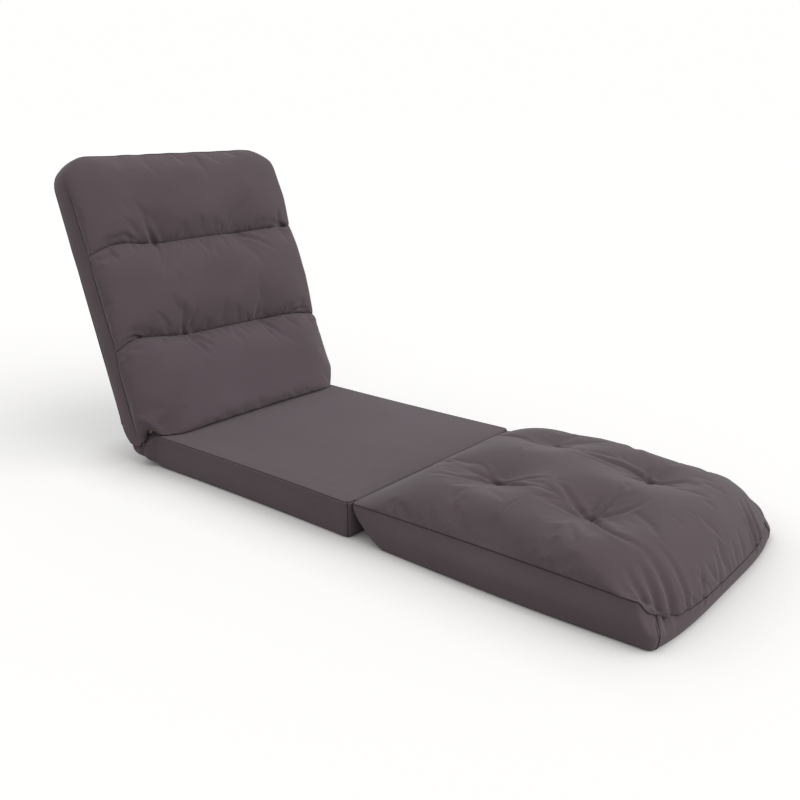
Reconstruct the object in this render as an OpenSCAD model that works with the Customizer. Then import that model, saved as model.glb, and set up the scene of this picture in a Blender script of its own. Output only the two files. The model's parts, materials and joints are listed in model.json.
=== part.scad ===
// Folding floor chair: a stuffed back on click hinges, a flat foam seat and a tufted leg pad.
// Millimetres. X runs across the seat, +Y towards the back, -Y towards the feet, +Z up.
// The origin is the middle of the seat's flat underside, on the floor.
// Left is +X, the left hand of a person who sits in the chair.

/* [Seat] */
// Width of the seat
seat_w = 550; // [480:5:600]
// Length of the seat, from the leg hinge to its rear end
seat_len = 600; // [560:5:660]
// Height of the seat at its top seam
seat_h = 75; // [70:1:90]
// Rise of the seat's top panel above its seam
seat_crown = 3; // [2:0.5:5]
// How far the seat's sides draw in between their corners
seat_draw = 4; // [1:0.5:8]
// Radius of the seat's corners, seen from above
seat_corner_r = 14; // [8:1:25]

/* [Leg pad] */
// How much narrower the leg pad is than the seat, on each side
leg_inset = 7; // [0:1:20]
// Length of the leg pad along its sides
leg_len = 600; // [560:5:640]
// How far the pad's front bows out in its middle
leg_bow = 32; // [10:2:40]
// Height of the pad's side seam
leg_seam_h = 73; // [66:1:74]
// Rise of the pad's stuffed top above its seam
leg_crown = 66; // [40:2:72]
// How far the pad's sides draw in between their corners
leg_draw = 5; // [1:0.5:10]
// Radius of the pad's front corners, seen from above
leg_front_r = 34; // [15:1:50]
// Radius of the pad's corners at the hinge, seen from above
leg_rear_r = 12; // [8:1:25]
// Length of the underside that rounds up to the hinge
leg_round_len = 81; // [50:1:100]
// Distance of the tufts from the middle line
tuft_x = 112; // [90:2:140]
// Distance of the rear tufts from the hinge
tuft_rear = 205; // [180:5:230]
// Distance of the front tufts from the hinge
tuft_front = 425; // [390:5:450]
// Depth of the wide hollow round a tuft
tuft_depth = 26; // [10:1:32]
// Spread of the wide hollow round a tuft
tuft_spread = 44; // [30:1:60]
// Depth of the pinched middle of a tuft
tuft_pinch = 10; // [4:1:14]
// Spread of the pinched middle of a tuft
tuft_pinch_spread = 16; // [10:1:24]

/* [Back] */
// How much wider the back is than the seat, on each side
back_overhang = 25; // [15:1:35]
// Length of the back above its pivot
back_len = 664; // [600:4:700]
// Depth of the back's boxing band
back_t = 60; // [56:1:64]
// Length of the back's rounded end below its pivot
back_end_len = 22; // [20:1:26]
// Radius of the back's top corners
back_corner_r = 60; // [30:2:80]
// How far the back's sides draw in at each channel seam
back_draw = 6; // [1:0.5:10]
// Height above the pivot at which the stuffed front starts
front_start = 36.5; // [36:0.5:44]
// Height of the lower channel seam above the pivot
lower_seam = 225; // [200:5:240]
// Height of the upper channel seam above the pivot
upper_seam = 450; // [430:5:470]
// Rise of the lower channel above the front seam
lower_crown = 53; // [35:1:54]
// Rise of the middle channel above the front seam
middle_crown = 49; // [35:1:52]
// Rise of the upper channel above the front seam
upper_crown = 43; // [30:1:50]
// Rise of the channel seams above the front seam
seam_lift = 18; // [10:1:24]
// Distance of the seam pinches from the middle line
pinch_x = 122; // [100:2:140]
// Depth of a seam pinch
pinch_depth = 8; // [3:1:10]
// Spread of a seam pinch
pinch_spread = 18; // [10:1:26]

/* [Recline] */
// Distance of the pivot behind the seat's rear end
pivot_back = 35; // [34:0.5:38]
// Height of the pivot above the floor
pivot_z = 42; // [40:0.5:44]
// Clicks from upright to flat
click_steps = 14; // [14:1:14]
// Clicks from upright at which the chair is drawn
click_drawn = 3; // [0:1:6]

/* [Frame] */
// Outer diameter of the bent frame tubes
tube_d = 19; // [16:0.5:20]
// Wall of the frame tubes
tube_wall = 1.3; // [1:0.1:1.6]
// Distance of the tube legs inside the seat's sides
tube_inset = 40; // [36:1:60]
// Bend radius of the tubes at their centre line
bend_r = 55; // [40:5:70]
// Distance of the seat tube's front bar from the seat's front end
seat_bar_inset = 52; // [40:2:70]
// Distance of the back tube's top bar from the back's top
back_bar_inset = 58; // [45:2:80]
// Outer diameter of the seat's cross tubes
cross_d = 16; // [12:0.5:18]
// Distance of the rear cross tube from the seat's rear end
cross_rear = 130; // [100:5:160]
// Distance of the front cross tube from the seat's rear end
cross_front = 330; // [280:5:380]
// Width of a webbing strap in the back
strap_w = 50; // [40:2:60]
// Thickness of a webbing strap
strap_t = 1.6; // [1.2:0.1:2]
// Height of the lowest strap above the pivot
strap_start = 130; // [110:5:135]
// Distance between straps
strap_pitch = 195; // [190:5:200]

/* [Click hinge] */
// Radius of the toothed sector over its tooth tips
sector_r = 19; // [18.5:0.1:19]
// Depth of a tooth
tooth_depth = 1.2; // [1:0.1:1.4]
// Thickness of the sector and the pawl
sector_t = 4; // [3:0.5:5]
// Thickness of a housing cheek
cheek_t = 2; // [1.5:0.1:2.5]
// Radius of a cheek round the pivot
cheek_r = 20.5; // [20:0.1:21]
// Height of the housing's arm
arm_h = 30; // [28:1:32]
// Distance from the pivot to the rear face of the housing's block
block_start = 50; // [46:1:54]
// Length of the housing's block
block_len = 23; // [18:1:28]
// Diameter of the pivot rivet
pivot_d = 8; // [6:0.5:9]
// Diameter of the pawl pin
pawl_pin_d = 5; // [4:0.5:6]
// Length of a spigot inside its tube
spigot_len = 34; // [25:1:45]
// Diameter of a frame rivet
rivet_d = 4; // [3:0.5:5]

/* [Cloth and foam] */
// Thickness of the cover cloth with its lining
cover_t = 1.5; // [1.2:0.1:2]
// Thickness of the non-slip base cloth
base_t = 2; // [1.5:0.1:3]
// Clearance of soft pieces from their neighbours
soft_gap = 0.3; // [0.2:0.05:0.5]
// Clearance of the leg pad's fibre fill under its panel
fill_gap = 3; // [2.5:0.5:4]
// Clearance of the back's fibre fills under their panel
back_fill_gap = 9; // [8:0.5:12]
// Extra clearance of the leg pad's fibre fill round a tuft
tuft_room = 14; // [12:1:18]
// Distance of the leg pad's foam below its seam
leg_foam_drop = 8; // [4:1:12]
// Reach of the crease roll over the seat
roll_reach = 42; // [30:1:44]
// Bulge of the crease roll's front
roll_bulge = 8; // [4:1:10]
// Width of the hinge tape
tape_w = 26; // [18:1:32]
// Width of the gap at the leg hinge
hinge_gap = 1.6; // [1.4:0.1:2]
// Diameter of a tufting cord
cord_d = 2.4; // [2:0.2:3]
// Diameter of a tufting washer
washer_d = 24; // [18:1:30]
// Thickness of a tufting washer
washer_t = 2; // [1.5:0.5:3]

/* [Zips] */
// Width of a zip's tape
zip_w = 26; // [22:1:30]
// Thickness of a zip's tape
zip_t = 0.8; // [0.6:0.1:1]
// Width of a zip's closed teeth
teeth_w = 5; // [4:0.5:6]
// Height of a zip's teeth above its tape
teeth_h = 1.2; // [1:0.1:1.6]
// Travel of the seat's and leg pad's zip sliders
side_zip_travel = 380; // [300:10:420]
// Travel of the back's zip slider
back_zip_travel = 400; // [300:10:420]
// Height of the back's zip above the pivot
back_zip_u = 80; // [60:5:110]
// Length of a zip slider
slider_len = 13; // [10:1:16]
// Width of a zip slider
slider_w = 9; // [8:0.5:11]
// Thickness of a zip slider's top plate
slider_t = 1.8; // [1.4:0.1:2.4]

/* [Hidden] */

// Overrun of every cut past the face that it opens
over = 1;
// Facets of round shapes
round_fn = 48;
// Running clearance of a pin in its bore, on the radius
run_fit = 0.05;
// Clearance of a spigot in its tube, on the radius
spigot_fit = 0.1;
// Clearance between flat plates of the click hinge
plate_gap = 0.2;
// Clearance of a notch round the hinge's moving metal
notch_gap = 2;

// Power of a panel's rounding towards its sides
side_power = 4;
// Power of a channel's rounding towards its seams
channel_power = 3.4;
// Power of the leg pad's rounding towards its sides
leg_side_power = 2.8;
// Power of the leg pad's rounding towards its front
leg_front_power = 3;
// Power of the curve under the leg pad's hinge end
leg_round_power = 1.35;
// Share of the leg pad's length over which its top rises from the hinge
leg_rise_share = 0.3;
// Share of the leg pad's length at which its top starts to fall to the front
leg_fall_share = 0.5;
// Share of a panel's half width that its fibre fill covers
fill_side_share = 0.97;

// Turn of one click, lean of the back from upright, and its angle above the floor
click = 90 / click_steps;
back_lean = click * click_drawn;
back_tilt = 90 - back_lean;
pivot_y = seat_len / 2 + pivot_back;
back_w = seat_w + 2 * back_overhang;
leg_w = seat_w - 2 * leg_inset;
// Distance of the tube legs and click hinges from the middle line
tube_x = seat_w / 2 - tube_inset;
// Outer and inner radius of the bent tubes
tube_r = tube_d / 2;
bore_r = tube_r - tube_wall;
// Distance of the stuffing inside the outer face of its cover
cover_gap = cover_t + soft_gap;

function lerp(a, b, k) = a + (b - a) * k;
function polar(r, a) = [r * cos(a), r * sin(a)];
function gauss(d, spread) = exp(-d * d / (2 * spread * spread));
// Height share of a rounded panel: 0 on its edge, 1 in its middle
function dome(s, p) = sqrt(max(0, 1 - pow(abs(s), p)));
// How far a round corner of radius r cuts in at distance d from the end
function corner_cut(d, r) = d >= r ? 0 : r - sqrt(max(0, r * r - (r - d) * (r - d)));
// Shares from -1 to 1, closer together towards both ends
function end_steps(n) = [for (i = [0:n]) sin(90 * (2 * i / n - 1))];
// Shares from -1 to 1 that pass through mark on both sides
function mark_steps(mark, n_in, n_out) = concat(
    [for (i = [n_out:-1:1]) -lerp(mark, 1, sin(90 * i / n_out))],
    [for (i = [-n_in:n_in]) mark * i / n_in],
    [for (i = [1:n_out]) lerp(mark, 1, sin(90 * i / n_out))]
);
// Every other share of a list that runs from -1 to 1 or 0 to 1, with its ends drawn in
function fill_steps(list, mid) = [for (i = [0:2:len(list) - 1])
    i == 0 || i == len(list) - 1 ? lerp(mid, list[i], fill_side_share) : list[i]];

// A closed solid between an upper and a lower skin, each a list of rows of points
module skin_solid(top, low) {
    rows = len(top);
    cols = len(top[0]);
    count = rows * cols;
    points = concat([for (row = top) each row], [for (row = low) each row]);
    function at(r, c) = r * cols + c;
    upper = [for (r = [0:rows - 2]) for (c = [0:cols - 2]) each [
        [at(r, c), at(r + 1, c), at(r + 1, c + 1)],
        [at(r, c), at(r + 1, c + 1), at(r, c + 1)]
    ]];
    lower = [for (f = upper) [for (k = [2:-1:0]) f[k] + count]];
    ends = [for (c = [0:cols - 2]) each [
        [at(0, c), at(0, c + 1), at(0, c + 1) + count],
        [at(0, c), at(0, c + 1) + count, at(0, c) + count],
        [at(rows - 1, c + 1), at(rows - 1, c), at(rows - 1, c) + count],
        [at(rows - 1, c + 1), at(rows - 1, c) + count, at(rows - 1, c + 1) + count]
    ]];
    sides = [for (r = [0:rows - 2]) each [
        [at(r + 1, 0), at(r, 0), at(r, 0) + count],
        [at(r + 1, 0), at(r, 0) + count, at(r + 1, 0) + count],
        [at(r, cols - 1), at(r + 1, cols - 1), at(r + 1, cols - 1) + count],
        [at(r, cols - 1), at(r + 1, cols - 1) + count, at(r, cols - 1) + count]
    ]];
    polyhedron(points, concat(upper, lower, ends, sides), convexity = 6);
}

// The outline of a panel whose plan point at shares s and t is at(s, t, inset)
function outline(at, cols, rows, inset) = concat(
    [for (t = rows) at(1, t, inset)],
    [for (i = [len(cols) - 2:-1:1]) at(cols[i], rows[len(rows) - 1], inset)],
    [for (i = [len(rows) - 1:-1:0]) at(-1, rows[i], inset)],
    [for (i = [1:len(cols) - 2]) at(cols[i], rows[0], inset)]
);

// A profile in Y and Z, made thick along X about the middle plane
module yz_plate(t) {
    rotate([90, 0, 90]) linear_extrude(height = t, center = true) children();
}

// A round bar along X, about the middle plane
module x_bar(r, len) {
    rotate([0, 90, 0]) cylinder(r = r, h = len, center = true, $fn = round_fn);
}

// A round bar that starts at the origin and runs along +Y
module y_bar(r, len) {
    rotate([-90, 0, 0]) cylinder(r = r, h = len, $fn = round_fn);
}

// From the seat's middle to the hinge pivot
module at_pivot() {
    translate([0, pivot_y, pivot_z]) children();
}

// The back's own frame: Y runs up the back from the pivot and Z forward, towards the sitter
module in_back() {
    at_pivot() rotate([back_tilt, 0, 0]) children();
}

// The same for a point [up, forward] of the back, given as [y, z] at rest
function back_to_world(p) = [
    pivot_y + p[0] * cos(back_tilt) - p[1] * sin(back_tilt),
    pivot_z + p[0] * sin(back_tilt) + p[1] * cos(back_tilt)
];

// A bent tube lying in the XY plane: its bar is on the X axis and its legs run along +Y
module u_path(r, legs, extra) {
    bar = tube_x - bend_r;
    x_bar(r, 2 * bar);
    for (side = [-1, 1]) {
        translate([side * bar, bend_r, 0])
            rotate([0, 0, side < 0 ? 180 : 270])
                rotate_extrude(angle = 90, $fn = round_fn) translate([bend_r, 0]) circle(r);
        translate([side * tube_x, bend_r, 0]) y_bar(r, legs - bend_r + extra);
    }
}

// Seat

seat_cols = end_steps(12);
seat_rows = end_steps(14);
seat_at = function (s, t, inset) [
    s * (seat_w / 2 - inset - seat_draw * (1 - t * t)
        - corner_cut((1 - abs(t)) * seat_len / 2, seat_corner_r)),
    t * (seat_len / 2 - inset)
];
function seat_rise(s, t) = seat_crown * dome(s, side_power) * dome(t, side_power);
function seat_side_x(y) = seat_at(1, 2 * y / seat_len, 0)[0];
// Outline of the housings' arms, and the slots that let them through cloth and foam
arm_slot_w = sector_t + 2 * (cheek_t + plate_gap) + 2 * notch_gap;
arm_slot_h = arm_h + 2 * notch_gap;
seat_bar_y = -seat_len / 2 + seat_bar_inset;
tube_end_y = pivot_y - block_start - block_len;
cross_places = [seat_len / 2 - cross_rear, seat_len / 2 - cross_front];

module seat_outline(inset) {
    polygon(outline(seat_at, seat_cols, seat_rows, inset));
}

module arm_slots(from_y, to_y) {
    for (side = [-1, 1])
        translate([side * tube_x - arm_slot_w / 2, from_y, pivot_z - arm_slot_h / 2])
            cube([arm_slot_w, to_y - from_y, arm_slot_h]);
}

module seat_cover_top() {
    top = [for (t = seat_rows) [for (s = seat_cols)
        concat(seat_at(s, t, 0), [seat_h + seat_rise(s, t)])]];
    low = [for (row = top) [for (p = row) p - [0, 0, cover_t]]];
    color("#645b60") skin_solid(top, low);
}

module seat_cover_boxing() {
    color("#4d464b") difference() {
        translate([0, 0, base_t]) linear_extrude(height = seat_h - cover_t - base_t)
            seat_outline(0);
        linear_extrude(height = seat_h) seat_outline(cover_t);
        arm_slots(seat_len / 2 - cover_t - over, seat_len / 2 + over);
    }
}

module seat_cover_base() {
    color("#2f2c2f") linear_extrude(height = base_t) seat_outline(0);
}

module seat_frame_path(r, extra) {
    translate([0, seat_bar_y, pivot_z]) u_path(r, tube_end_y - seat_bar_y, extra);
}

module seat_cross_path(r) {
    for (y = cross_places) translate([0, y, pivot_z]) x_bar(r, 2 * (tube_x - tube_r - run_fit));
}

// The room in the foam for the frame and the housings
module seat_frame_room() {
    seat_frame_path(tube_r + soft_gap, over + soft_gap);
    seat_cross_path(cross_d / 2 + soft_gap);
    arm_slots(tube_end_y, seat_len / 2);
}

module seat_foam_sheet(low_z, high_z) {
    difference() {
        translate([0, 0, low_z]) linear_extrude(height = high_z - low_z) seat_outline(cover_gap);
        seat_frame_room();
    }
}

module seat_foam_upper() {
    color("#e3d9a8") seat_foam_sheet(pivot_z + soft_gap / 2, seat_h - cover_gap);
}

module seat_foam_lower() {
    color("#d8cd98") seat_foam_sheet(base_t + soft_gap, pivot_z - soft_gap / 2);
}

seat_rivet_y = tube_end_y - spigot_len / 2;

module seat_frame_tube() {
    color("#3a3c3f") difference() {
        seat_frame_path(tube_r, 0);
        seat_frame_path(bore_r, over);
        for (side = [-1, 1])
            translate([side * tube_x, seat_rivet_y, pivot_z])
                x_bar(rivet_d / 2 + run_fit, tube_d + over);
    }
}

module seat_cross_tubes() {
    color("#44474a") difference() {
        seat_cross_path(cross_d / 2);
        for (y = cross_places) translate([0, y, pivot_z])
            x_bar(cross_d / 2 - tube_wall, 2 * tube_x);
    }
}

module seat_frame_rivets() {
    color("#8d9195") for (side = [-1, 1])
        translate([side * tube_x, seat_rivet_y, pivot_z]) x_bar(rivet_d / 2, tube_d);
}

// Zips

seat_zip_z = seat_h / 2;
leg_zip_z = leg_seam_h / 2;
zip_len = side_zip_travel + 2 * slider_len;

// A strip of a panel's side wall between y and z limits, grown outwards by proud
module side_strip(at, cols, rows, proud, mid_y, len, mid_z, high) {
    intersection() {
        translate([0, 0, mid_z - high / 2]) linear_extrude(height = high) difference() {
            polygon(outline(at, cols, rows, -proud));
            polygon(outline(at, cols, rows, 0));
        }
        translate([0, mid_y - len / 2, mid_z - high / 2]) cube([leg_w + seat_w, len, high]);
    }
}

// A slider that rides over the teeth; its open channel runs along Y and faces -X
module slider_body(teeth_top) {
    foot = teeth_top - teeth_h + soft_gap;
    roof = teeth_top + soft_gap;
    difference() {
        translate([foot, -slider_len / 2, -slider_w / 2])
            cube([roof + slider_t - foot, slider_len, slider_w]);
        translate([foot - over, -slider_len / 2 - over, -teeth_w / 2 - soft_gap])
            cube([roof - foot + over, slider_len + 2 * over, teeth_w + 2 * soft_gap]);
    }
}

module seat_zip() {
    color("#3b363a") {
        side_strip(seat_at, seat_cols, seat_rows, zip_t, 0, zip_len, seat_zip_z, zip_w);
        side_strip(seat_at, seat_cols, seat_rows, zip_t + teeth_h, 0, zip_len, seat_zip_z,
            teeth_w);
    }
}

module seat_zip_slider() {
    end_y = side_zip_travel / 2;
    color("#2c2a2c") translate([0, end_y, seat_zip_z])
        slider_body(seat_side_x(end_y) + zip_t + teeth_h);
}

// Click hinge

// Direction from the pivot to the pawl's tip, from +Y round towards +Z
tip_angle = 215;
// Distance from the pawl's tip to its pin
pawl_reach = 24;
// Clearance of the lifted tip over the tooth tips
tip_lift = 0.3;
// Play between the tip and the tooth face that it drops behind, as an angle
face_gap_angle = 0.75;
pawl_eye_r = 5;
// Half the depth of the pawl's arm
pawl_nose = 4.4;
// How far the tip's flank runs back to the pin, and how far it rises
flank_run = 2.4;
flank_rise = 1.8;
// Steps of the teeth before and after the one behind which the pawl stands
tooth_first = -4;
tooth_last = 12;
tip_out = polar(1, tip_angle);
tip_back = [tip_out[1], -tip_out[0]];
pawl_tip = (sector_r + tip_lift) * tip_out;
pawl_pivot = pawl_tip + pawl_reach * tip_back;
// Angle of a tooth's steep face in the back's frame
function face_angle(k) = tip_angle + face_gap_angle - back_tilt + k * click;
sector_root_r = sector_r - tooth_depth;
// Depth of the sector's neck, and start, length and width of the block that it carries
sector_neck = 16;
sector_block_start = 24;
sector_block_len = 22;
sector_block_w = 14;
spigot_r = bore_r - spigot_fit;
back_tube_start = sector_block_start + sector_block_len;
// Radius and thickness of a pivot rivet's head, and radius of a pawl pin's head
head_r = 6.5;
head_t = 1.4;
pin_head_r = 4;
// Middle of a cheek plate, and width over both cheeks
cheek_x = sector_t / 2 + plate_gap + cheek_t / 2;
housing_w = sector_t + 2 * (plate_gap + cheek_t);
spring_t = 0.6;
// Points on the sector's toothless rim
plain_steps = 24;

module ratchet_sector() {
    first = face_angle(tooth_first);
    last = face_angle(tooth_last + 1);
    teeth = [for (k = [tooth_first:tooth_last]) each [
        polar(sector_root_r, face_angle(k)), polar(sector_r, face_angle(k))]];
    plain = [for (i = [0:plain_steps]) polar(sector_root_r,
        lerp(last, first + 360, i / (plain_steps + 1)))];
    difference() {
        union() {
            yz_plate(sector_t) union() {
                polygon(concat(teeth, plain));
                translate([0, -sector_neck / 2]) square([sector_block_start + over, sector_neck]);
            }
            translate([-sector_block_w / 2, sector_block_start, -sector_neck / 2])
                cube([sector_block_w, sector_block_len, sector_neck]);
            translate([0, back_tube_start - over, 0]) y_bar(spigot_r, spigot_len + over);
        }
        x_bar(pivot_d / 2 + run_fit, sector_t + 2 * over);
        translate([0, back_tube_start + spigot_len / 2, 0])
            x_bar(rivet_d / 2 + run_fit, tube_d + over);
    }
}

module ratchet_housing() {
    arm_len = block_start + block_len;
    difference() {
        union() {
            for (side = [-1, 1]) translate([side * cheek_x, 0, 0]) yz_plate(cheek_t) union() {
                circle(cheek_r, $fn = round_fn);
                translate([-arm_len, -arm_h / 2]) square([arm_len, arm_h]);
            }
            translate([-sector_t / 2 - plate_gap, -arm_len, -arm_h / 2])
                cube([sector_t + 2 * plate_gap, block_len, arm_h]);
            translate([0, -arm_len - spigot_len, 0]) y_bar(spigot_r, spigot_len + over);
        }
        x_bar(pivot_d / 2 + run_fit, housing_w + over);
        translate([0, pawl_pivot[0], pawl_pivot[1]]) x_bar(pawl_pin_d / 2 + run_fit,
            housing_w + over);
        translate([0, -arm_len - spigot_len / 2, 0]) x_bar(rivet_d / 2 + run_fit, tube_d + over);
    }
}

// A pin that fills both cheeks, with a flat head outside each
module headed_pin(r, big_r) {
    x_bar(r, housing_w + 2 * run_fit);
    for (side = [-1, 1])
        translate([side * (housing_w + head_t + 2 * run_fit) / 2, 0, 0]) x_bar(big_r, head_t);
}

module ratchet_pawl() {
    eye = pawl_pivot;
    yz_plate(sector_t) difference() {
        union() {
            polygon([pawl_tip,
                pawl_tip + flank_run * tip_back + flank_rise * tip_out,
                eye - pawl_nose * tip_out,
                eye + pawl_nose * tip_out,
                pawl_tip + pawl_nose * tip_out]);
            translate(eye) circle(pawl_eye_r, $fn = round_fn);
        }
        translate(eye) circle(pawl_pin_d / 2 + run_fit, $fn = round_fn);
    }
}

// A leaf that springs from the housing's block to the back of the pawl
module pawl_spring() {
    root = [-block_start, -arm_h / 3];
    push = (pawl_tip + pawl_pivot) / 2 + (pawl_nose + soft_gap) * tip_out;
    yz_plate(sector_t) polygon([root, push, push + [0, -spring_t], root + [0, -spring_t]]);
}

// A piece of the hinge that stays with the seat, on one side
module hinge_side(side) {
    at_pivot() translate([side * tube_x, 0, 0]) children();
}

// A piece of the hinge that turns with the back, on one side
module sector_side(side) {
    in_back() translate([side * tube_x, 0, 0]) children();
}

module ratchet_housing_left() { color("#6d7276") hinge_side(1) ratchet_housing(); }
module ratchet_housing_right() { color("#6d7276") hinge_side(-1) ratchet_housing(); }
module pivot_rivet_left() { color("#a3a7ab") hinge_side(1) headed_pin(pivot_d / 2, head_r); }
module pivot_rivet_right() { color("#a3a7ab") hinge_side(-1) headed_pin(pivot_d / 2, head_r); }

module pawl_pin() {
    translate([0, pawl_pivot[0], pawl_pivot[1]]) headed_pin(pawl_pin_d / 2, pin_head_r);
}

module pawl_pin_left() { color("#a3a7ab") hinge_side(1) pawl_pin(); }
module pawl_pin_right() { color("#a3a7ab") hinge_side(-1) pawl_pin(); }
module pawl_spring_left() { color("#b9bdc1") hinge_side(1) pawl_spring(); }
module pawl_spring_right() { color("#b9bdc1") hinge_side(-1) pawl_spring(); }
module ratchet_pawl_left() { color("#7c8186") hinge_side(1) ratchet_pawl(); }
module ratchet_pawl_right() { color("#7c8186") hinge_side(-1) ratchet_pawl(); }
module ratchet_sector_left() { color("#84898e") sector_side(1) ratchet_sector(); }
module ratchet_sector_right() { color("#84898e") sector_side(-1) ratchet_sector(); }

// Crease between the back and the seat

seat_top_z = seat_h + seat_crown + soft_gap;
// Angle that the gutter wraps round the pivot, from straight down up to the seat
gutter_sweep = 105;
// Steps of a bowed outline
bow_steps = 6;

// A roll that fills the wedge between the seat's top and the stuffed front's lower edge
module crease_roll() {
    face = back_t / 2 + soft_gap;
    foot_u = (seat_top_z - pivot_z - face * cos(back_tilt)) / sin(back_tilt);
    front = [pivot_y - pivot_back - roll_reach, seat_top_z];
    nose = back_to_world([front_start - soft_gap, back_t / 2 + lower_crown - cover_t]);
    inner = back_to_world([front_start - soft_gap, face]);
    bow = [for (i = [0:bow_steps]) lerp(front, nose, i / bow_steps)
        - [roll_bulge * sin(180 * i / bow_steps), 0]];
    color("#544d52") yz_plate(seat_w - 2 * seat_draw)
        polygon(concat(bow, [inner, back_to_world([foot_u, face])]));
}

// Cloth that closes the gap under the crease, round the back's lower end
module crease_gutter() {
    out_r = pivot_back - soft_gap;
    wide = seat_w - 2 * seat_draw;
    color("#3f393d") difference() {
        at_pivot() rotate([0, -90, 0]) rotate([0, 0, -90 - gutter_sweep])
            translate([0, 0, -wide / 2]) rotate_extrude(angle = gutter_sweep, $fn = 2 * round_fn)
                translate([out_r - cover_t, 0]) square([cover_t, wide]);
        arm_slots(seat_len / 2 - over, pivot_y);
    }
}

// Back

back_t_half = back_t / 2;
channel_ends = [front_start, lower_seam, upper_seam, back_len];
channel_crowns = [lower_crown, middle_crown, upper_crown];
channel_lifts = [0, seam_lift, seam_lift, 0];
// Rows of points in each channel
channel_rows = [8, 8, 10];
back_cols = mark_steps(2 * pinch_x / back_w, 3, 8);
// Length along a side over which a channel seam draws it in
back_edge_spread = 26;
// Heights of the rows of one channel above the pivot
function rows_of(k) = [for (v = end_steps(channel_rows[k]))
    lerp(channel_ends[k], channel_ends[k + 1], (v + 1) / 2)];
function tail(list) = [for (i = [1:len(list) - 1]) list[i]];
back_rows = concat(rows_of(0), tail(rows_of(1)), tail(rows_of(2)));
// Rows of points below the stuffed front
end_rows = 3;
foot_rows = [for (i = [0:end_rows - 1]) lerp(-back_end_len, front_start, i / end_rows)];
function channel_of(u) = u < lower_seam ? 0 : u < upper_seam ? 1 : 2;
function back_side_x(u, inset) = back_w / 2 - inset
    - back_draw * (gauss(u - lower_seam, back_edge_spread)
        + gauss(u - upper_seam, back_edge_spread))
    - corner_cut(back_len - u, back_corner_r);
back_at = function (s, u, inset) [s * back_side_x(u, inset), min(u, back_len - inset)];
function pinches(x, u) = pinch_depth * (
    gauss(norm([abs(x) - pinch_x, u - lower_seam]), pinch_spread)
    + gauss(norm([abs(x) - pinch_x, u - upper_seam]), pinch_spread));

// Rise of the back's front panel above its seam at share s and height u
function back_rise(s, u) =
    let (
        k = channel_of(u),
        share = (u - channel_ends[k]) / (channel_ends[k + 1] - channel_ends[k]),
        lift = lerp(channel_lifts[k], channel_lifts[k + 1], share),
        swell = lift + (channel_crowns[k] - lift) * dome(2 * share - 1, channel_power),
        side = dome(s, side_power)
    )
    side * (swell - pinches(s * back_w / 2, u));

module back_outline(inset) {
    polygon(outline(back_at, back_cols, concat(foot_rows, back_rows), inset));
}

// The back seen from its side: straight, with a rounded lower end
module back_profile(inset) {
    half = back_t_half - inset;
    low = back_end_len - inset;
    steps = 12;
    curve = [for (i = [0:steps]) [-low * sin(180 * i / steps), half * cos(180 * i / steps)]];
    polygon(concat([[back_len - inset, half]], curve, [[back_len - inset, -half]]));
}

module back_block(inset) {
    intersection() {
        translate([0, 0, -back_t_half]) linear_extrude(height = back_t) back_outline(inset);
        yz_plate(back_w) back_profile(inset);
    }
}

// The room that the housings and sectors need in the back's lower end
module hinge_notches(wide) {
    reach = back_t + back_end_len;
    open_u = arm_h / 2 + notch_gap;
    for (side = [-1, 1]) translate([side * tube_x, 0, 0]) yz_plate(wide) union() {
        circle(cheek_r + notch_gap / 2, $fn = round_fn);
        translate([-reach, -open_u]) square([reach + open_u, reach]);
    }
}

// Room for the sectors' blocks in the foam
module block_rooms() {
    wide = sector_block_w + notch_gap;
    high = sector_neck + notch_gap;
    for (side = [-1, 1]) translate([side * tube_x - wide / 2, 0, -high / 2])
        cube([wide, back_tube_start, high]);
}

module back_cover_front() {
    top = [for (u = back_rows) [for (s = back_cols)
        concat(back_at(s, u, 0), [back_t_half + back_rise(s, u)])]];
    low = [for (row = top) [for (p = row) p - [0, 0, cover_t]]];
    color("#5e555a") in_back() skin_solid(top, low);
}

module back_cover_boxing() {
    far = back_len + back_w;
    color("#4d464b") in_back() difference() {
        back_block(0);
        back_block(cover_t);
        translate([-far / 2, front_start, back_t_half - cover_t])
            cube([far, far, back_t]);
        translate([-far / 2, 0, -back_t - back_t_half + cover_t])
            cube([far, far, back_t]);
        hinge_notches(arm_slot_w);
    }
}

module back_cover_rear() {
    color("#4a4348") in_back() intersection() {
        translate([0, 0, -back_t_half]) linear_extrude(height = cover_t) back_outline(0);
        translate([-back_w / 2, 0, -back_t]) cube([back_w, back_len, 2 * back_t]);
    }
}

// One channel's stuffing, under the front panel and over the foam
module back_fill(k) {
    mid = (channel_ends[k] + channel_ends[k + 1]) / 2;
    inner_rows = fill_steps(rows_of(k), mid);
    cols = fill_steps(back_cols, 0);
    floor_n = back_t_half - cover_t + soft_gap;
    top = [for (u = inner_rows) [for (s = cols)
        concat(back_at(s, u, 0), [max(floor_n + soft_gap,
            back_t_half + back_rise(s, u) - cover_t - back_fill_gap)])]];
    low = [for (row = top) [for (p = row) [p[0], p[1], floor_n]]];
    in_back() skin_solid(top, low);
}

module back_fill_lower() { color("#f0eee8") back_fill(0); }
module back_fill_middle() { color("#f0eee8") back_fill(1); }
module back_fill_upper() { color("#f0eee8") back_fill(2); }

back_bar_u = back_len - back_bar_inset;

module back_frame_path(r, extra) {
    translate([0, back_bar_u, 0]) mirror([0, 1, 0])
        u_path(r, back_bar_u - back_tube_start, extra);
}

// Heights of the straps, and outer radius of their loops round the tube
strap_places = [for (i = [0:2]) strap_start + i * strap_pitch];
loop_r = tube_r + soft_gap + strap_t;

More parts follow.
